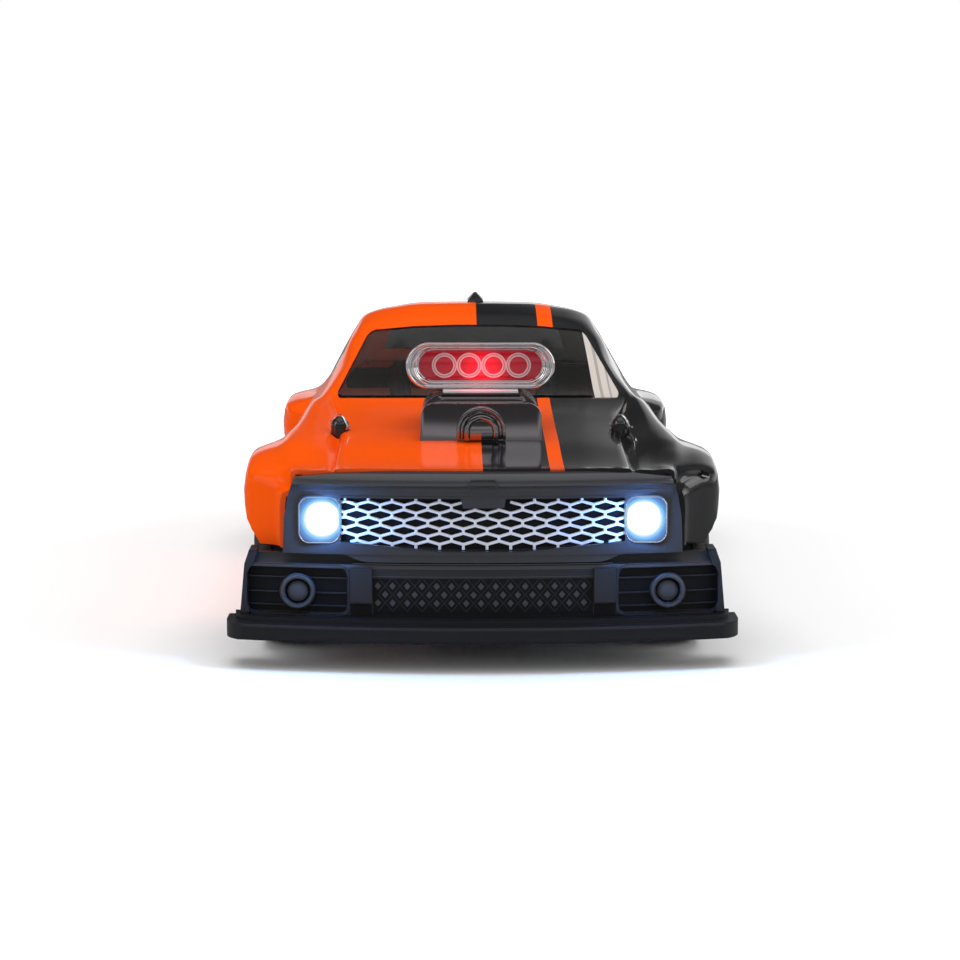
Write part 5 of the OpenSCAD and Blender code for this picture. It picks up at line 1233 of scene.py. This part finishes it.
# sections of the scoop: how far from the outer line to the inner one, how far back, how far down
scoopRim = [(0.34, 5.3), (0.1, 3.1), (0.02, 2.3), (0, 2.0), (0, 0.55), (0.03, 0.2), (0.1, 0.02), (0.2, 0.02),
            (0.27, 0.22), (0.3, 0.7), (0.33, 1.15), (0.42, 1.2), (0.47, 0.95), (0.53, 0.72), (0.64, 0.66),
            (0.72, 0.82), (0.76, 1.2), (0.78, 1.75),
            (0.86, 1.95), (0.95, 1.98), (1.02, 2.3), (1.05, 2.8), (1.05, 6.5), (0.5, 6.5)]
scoopBack = [(0.15, 2.4, 0), (0, 5, 0), (0.1, 8, 0.1), (0.35, 13, 0.4), (0.7, 19, 0.85), (0.95, 23.4, 1.15),
             (1.05, 24, 1.2)]
scoopLens = [(-0.04, 3.4, 0), (-0.04, 2.5, 0), (0.1, 2.35, 0), (0.5, 2.15, 0), (1.0, 2.05, 0)]


def makeScoop(m):
    c = scoop
    y, z = c["y"], c["z"]
    outer, inner = stadiumPath(c["half"], c["r"], z), stadiumPath(c["lensHalf"], c["lensR"], z)
    placed = lambda profile: [(t, y + back, drop) for t, back, drop in profile]
    rim = sweepBetween("scoopRim", inner, outer, placed([(t, back, 0) for t, back in scoopRim]), m["chrome"])
    backOuter = stadiumPath(c["half"] - 1.2, c["r"] - 1.2, z)
    backInner = stadiumPath(c["half"] - 6, c["r"] - 2.6, z)
    body = sweepBetween("scoopBack", backInner, backOuter, placed(scoopBack), m["chrome"], closed=False)
    plate = slab("scoopPlate", rect(-10.4, 10.4, 65.6, 66.95), y - 3, y + 16, m["grille"], 0.25)
    neck = slab("scoopNeck", rect(-9, 9, 66.9, 68.6), y + 2.3, y + 14.3, m["recess"], 0.2)
    finish(join("airScoop", [rim, body, plate, neck]), "air_scoop")
    middle = [(px * 0.7, z + (pz - z) * 0.08) for px, pz in inner]
    # the red lens carries painted glow, bright in its middle
    lens = sweepBetween("scoopLens", middle, inner, placed(scoopLens), m["redLens"], closed=False)
    bars = [slab("lensBar", rect(-15.4, 15.4, z + dz - 0.16, z + dz + 0.16), y + 1.78, y + 2.4, m["redLens"], 0.08)
            for dz in (-3.75, 3.75)]
    finish(join("scoopGlass", [lens] + bars), "scoop_lens")
    w, w2 = c["ringWire"]
    ring = [[(r + w, 0.35), (r + w, 0.04), (r + w2, -0.08), (r - w2, -0.08), (r - w, 0.04), (r - w, 0.35)]
            for r in c["ringRadii"]]
    ring = join("doubleRing", [lathe("ringPart", line, (0, 0, 0), "y", m["ring"], 56) for line in ring])
    first = c["ringX"] - (c["rings"] - 1) / 2 * c["ringPitch"]
    spots = [((first + i * c["ringPitch"], y + 1.92, z), (0, 0, 0), (1, 1, 1)) for i in range(c["rings"])]
    rings = copies("lensRings", ring, spots, m["ring"])
    smoothByAngle(rings, 50)
    finish(rings, [], "chassis")
    print("scoop ready")


posts = {"frontX": 39.0, "frontY": fa + 18, "rearX": 26.0, "rearY": ra + 38, "radius": 2.5}
postSpots = [(posts["frontX"], posts["frontY"]), (-posts["frontX"], posts["frontY"]),
             (posts["rearX"], posts["rearY"]), (-posts["rearX"], posts["rearY"])]
postEnds = {"front": (49.5, 51.7, 59.2), "rear": (40.0, 57.6, 66.2)}  # heights of the foot, the seat and the top
clip = {"wire": 0.3, "turn": -50, "over": 0.36, "bar": (-4.3, 4.7), "arc": (168, 22), "foot": 3.9}


def clipLines(over):  # the bow over the post with its bent leg, the bar through the post, the loop behind
    start, end = clip["bar"]
    arc = [(over * math.cos(a), 0, over * math.sin(a)) for a in np.radians(np.linspace(*clip["arc"], 26))]
    leg = [(over + 0.7, 0, 0.1), (over + 0.25, 0, -0.5), (over - 0.1, 0, -0.75)]
    bar = [(start, 0, -0.1), (end, 0, -0.1)]
    back = [(-over, 0, 0.5), (-over - 0.9, 0, 0.9), (-over - 1.5, 0, 0.5), (start, 0, -0.1)]
    return arc + leg, bar, back


def makePosts(m):
    r, foot = posts["radius"], clip["foot"]
    stems, wires = [], []
    turn = Matrix.Rotation(math.radians(clip["turn"]), 3, "Z")
    for x, y in postSpots:
        base, seat, top = postEnds["front" if y < 0 else "rear"]
        dome = [(r * math.cos(a), top - r + r * math.sin(a)) for a in np.linspace(0, math.pi / 2 * 0.98, 9)]
        profile = [(0.01, base), (foot, base), (foot, seat - 0.3), (foot - 0.3, seat), (r, seat)]
        stems.append(lathe("post", profile + dome + [(0.01, top)], (x, y, 0), "z", m["post"], 40))
        for line in clipLines(r + clip["over"]):
            points = [tuple(turn @ Vector(v) + Vector((x, y, top - r))) for v in line]
            wires.append(tube("clipWire", points, clip["wire"], m["wire"], 3))
    finish(join("bodyPosts", stems), "body_posts")
    finish(join("bodyClips", wires), "body_clips")
    print("posts and clips ready")


screw = {"r": 1.25, "slot": 0.75, "slotHalf": 0.14, "z": 9.0, "narrow": (10, (-118, -100, -78, 62, 98, 110)),
         "wide": (20, (-52, -20, 14, 46))}  # distance from the middle, and the places along the car


def makeScrews(m):  # low domes, each with a thin black cross laid on it as the painted shade of a cross slot, on the underside
    r, a, b = screw["r"], screw["slot"], screw["slotHalf"]
    head = lathe("head", [(0.01, -0.62), (0.55, -0.6), (0.98, -0.42), (r, -0.1), (r, 0.1), (0.01, 0.1)],
                 (0, 0, 0), "y", m["steel"], 12)
    cross = join("cross", [slab("slotA", rect(-a, a, -b, b), -0.7, -0.64, m["recess"], 0),
                           slab("slotB", rect(-b, b, -a, a), -0.7, -0.64, m["recess"], 0)])
    spots = [((s * x, y, screw["z"]), (90, 0, 0), (1, 1, 1))
             for x, places in (screw["narrow"], screw["wide"]) for y in places for s in (-1, 1)]
    placed = copies("screwHeads", head, spots, m["steel"])
    slotShades = copies("screwCrosses", cross, spots, m["recess"])
    finish(placed, [], "chassis")
    finish(slotShades, [], "chassis")
    print("screws ready:", len(spots))


tyre = {"r": 23.0, "half": 10.0, "x": 50.0, "z": 23.0, "rim": 15.5, "grooves": (5.2, 1.8, -1.8, -5.2),
        "grooveDeep": 0.55, "bolts": 5, "boltCircle": 3.4, "boltOut": 8.2, "firstBolt": 36}
rimLip = [(-0.2, 10.3), (0.55, 10.45), (0.6, 10.1), (-0.1, 9.9), (-1.6, 8.8), (-1.9, 7.2), (-1.4, 7.0), (-1.0, 8.6)]
bolt = [(0.01, 0.55), (0.5, 0.5), (0.72, 0.2), (0.72, -0.5), (0.01, -0.5)]


def tyreProfile():
    r, h, q = tyre["r"], tyre["half"], tyre["rim"]
    side = [(q + 0.05, h), (q + 1.0, h), (q + 1.6, h - 0.1), (q + 2.1, h - 0.55), (q + 2.6, h - 0.1),
            (r - 3.4, h - 0.02), (r - 2.2, h - 0.35), (r - 1.2, h - 0.95), (r - 0.5, h - 1.9),
            (r - 0.1, h - 3.0), (r, h - 3.4)]
    deep = r - tyre["grooveDeep"]
    grooves = [p for g in tyre["grooves"] for p in ((r, g + 0.4), (deep, g + 0.3), (deep, g - 0.3), (r, g - 0.4))]
    return side + grooves + [(a, -b) for a, b in reversed(side)]


def makeWheels(m):
    t, q = tyre, tyre["rim"]
    for corner, s, y in (("fl", 1, fa), ("fr", -1, fa), ("rl", 1, ra), ("rr", -1, ra)):
        place, wheel = (s * t["x"], y, t["z"]), "wheel_" + corner
        ob = lathe("tyreBody_" + corner, [(a, b * s) for a, b in tyreProfile()], place, "x", m["rubber"], 96)
        finish(ob, "tyre_" + corner)
        line = [(q + out, along) for out, along in rimLip]
        lip = lathe("rimLip_" + corner, line, (0, 0, 0), "x", m["chrome"], 72)
        if s < 0:
            lip.data.transform(Matrix.Diagonal((-1, 1, 1, 1)))
            lip.data.flip_normals()
        lip.data.transform(Matrix.Translation(Vector(place) * mm))
        finish(lip, [], wheel)
        nut = lathe("bolt", bolt, (0, 0, 0), "x", m["steel"], 6)
        spots = []
        for k in range(t["bolts"]):
            a = math.radians(t["firstBolt"] + 360 / t["bolts"] * k)
            up, along = t["boltCircle"] * math.sin(a), t["boltCircle"] * math.cos(a)
            spot = (s * (t["x"] + t["boltOut"]), y + along, t["z"] + up)
            spots.append((spot, (0, 0 if s > 0 else 180, 0), (1, 1, 1)))
        finish(copies("wheelBolts_" + corner, nut, spots, m["steel"]), [], wheel)
    print("wheels ready")


tail = {"lamps": 3, "firstX": 22.5, "pitch": 9.2, "half": 4.1, "low": 47.4, "high": 54.6,
        "bezel": (17.6, 46.0, 46.4, 55.6), "lensY": (134.6, 136.9), "bezelY": (134.4, 136.25)}


def makeBodyDetail(m):  # a painted reflection on one flare, shaped as a small vent: a dark slot with a bright edge; and the tail lamps
    # painted reflection: a black slot with a bright chrome edge beneath it, on the right flare only
    slot = [(57.2, 48.5), (59.3, 47.9), (59.3, 49.0), (57.2, 49.6)]
    lip = [(57.4, 48.0), (59.4, 47.4), (59.4, 47.75), (57.4, 48.35)]
    paintedReflection = [slab("ventSlot", slot, -117.2, -116.0, m["recess"], 0.1),
            slab("ventEdge", lip, -117.3, -116.0, m["chrome"], 0.08)]
    finish(join("flareVent", paintedReflection), [], "chassis")
    parts = []
    x0, x1, z0, z1 = tail["bezel"]
    for s in (-1, 1):
        for k in range(tail["lamps"]):
            x = s * (tail["firstX"] + k * tail["pitch"])
            lens = roundedLoop(rect(x - tail["half"], x + tail["half"], tail["low"], tail["high"]), 1.0, 5)
            parts.append(slab("tailLens", lens, *tail["lensY"], m["tailRed"], 0.35))
        bezel = roundedLoop(rect(s * x0, s * x1, z0, z1), 1.6, 6)
        parts.append(slab("tailBezel", bezel, *tail["bezelY"], m["recess"], 0.3))
    finish(join("tailLamps", parts), [], "chassis")
    print("small body parts ready")


makeCamera()
makeStudio()
mats = makeMaterials()
repeat = copiesTree()
makeShell(mats)
makePlainParts(mats)
makeUpperGrille(mats)
makeNose(mats)
makeBumper(mats)
makeBlower(mats)
makeScoop(mats)
makePosts(mats)
makeScrews(mats)
makeWheels(mats)
makeBodyDetail(mats)
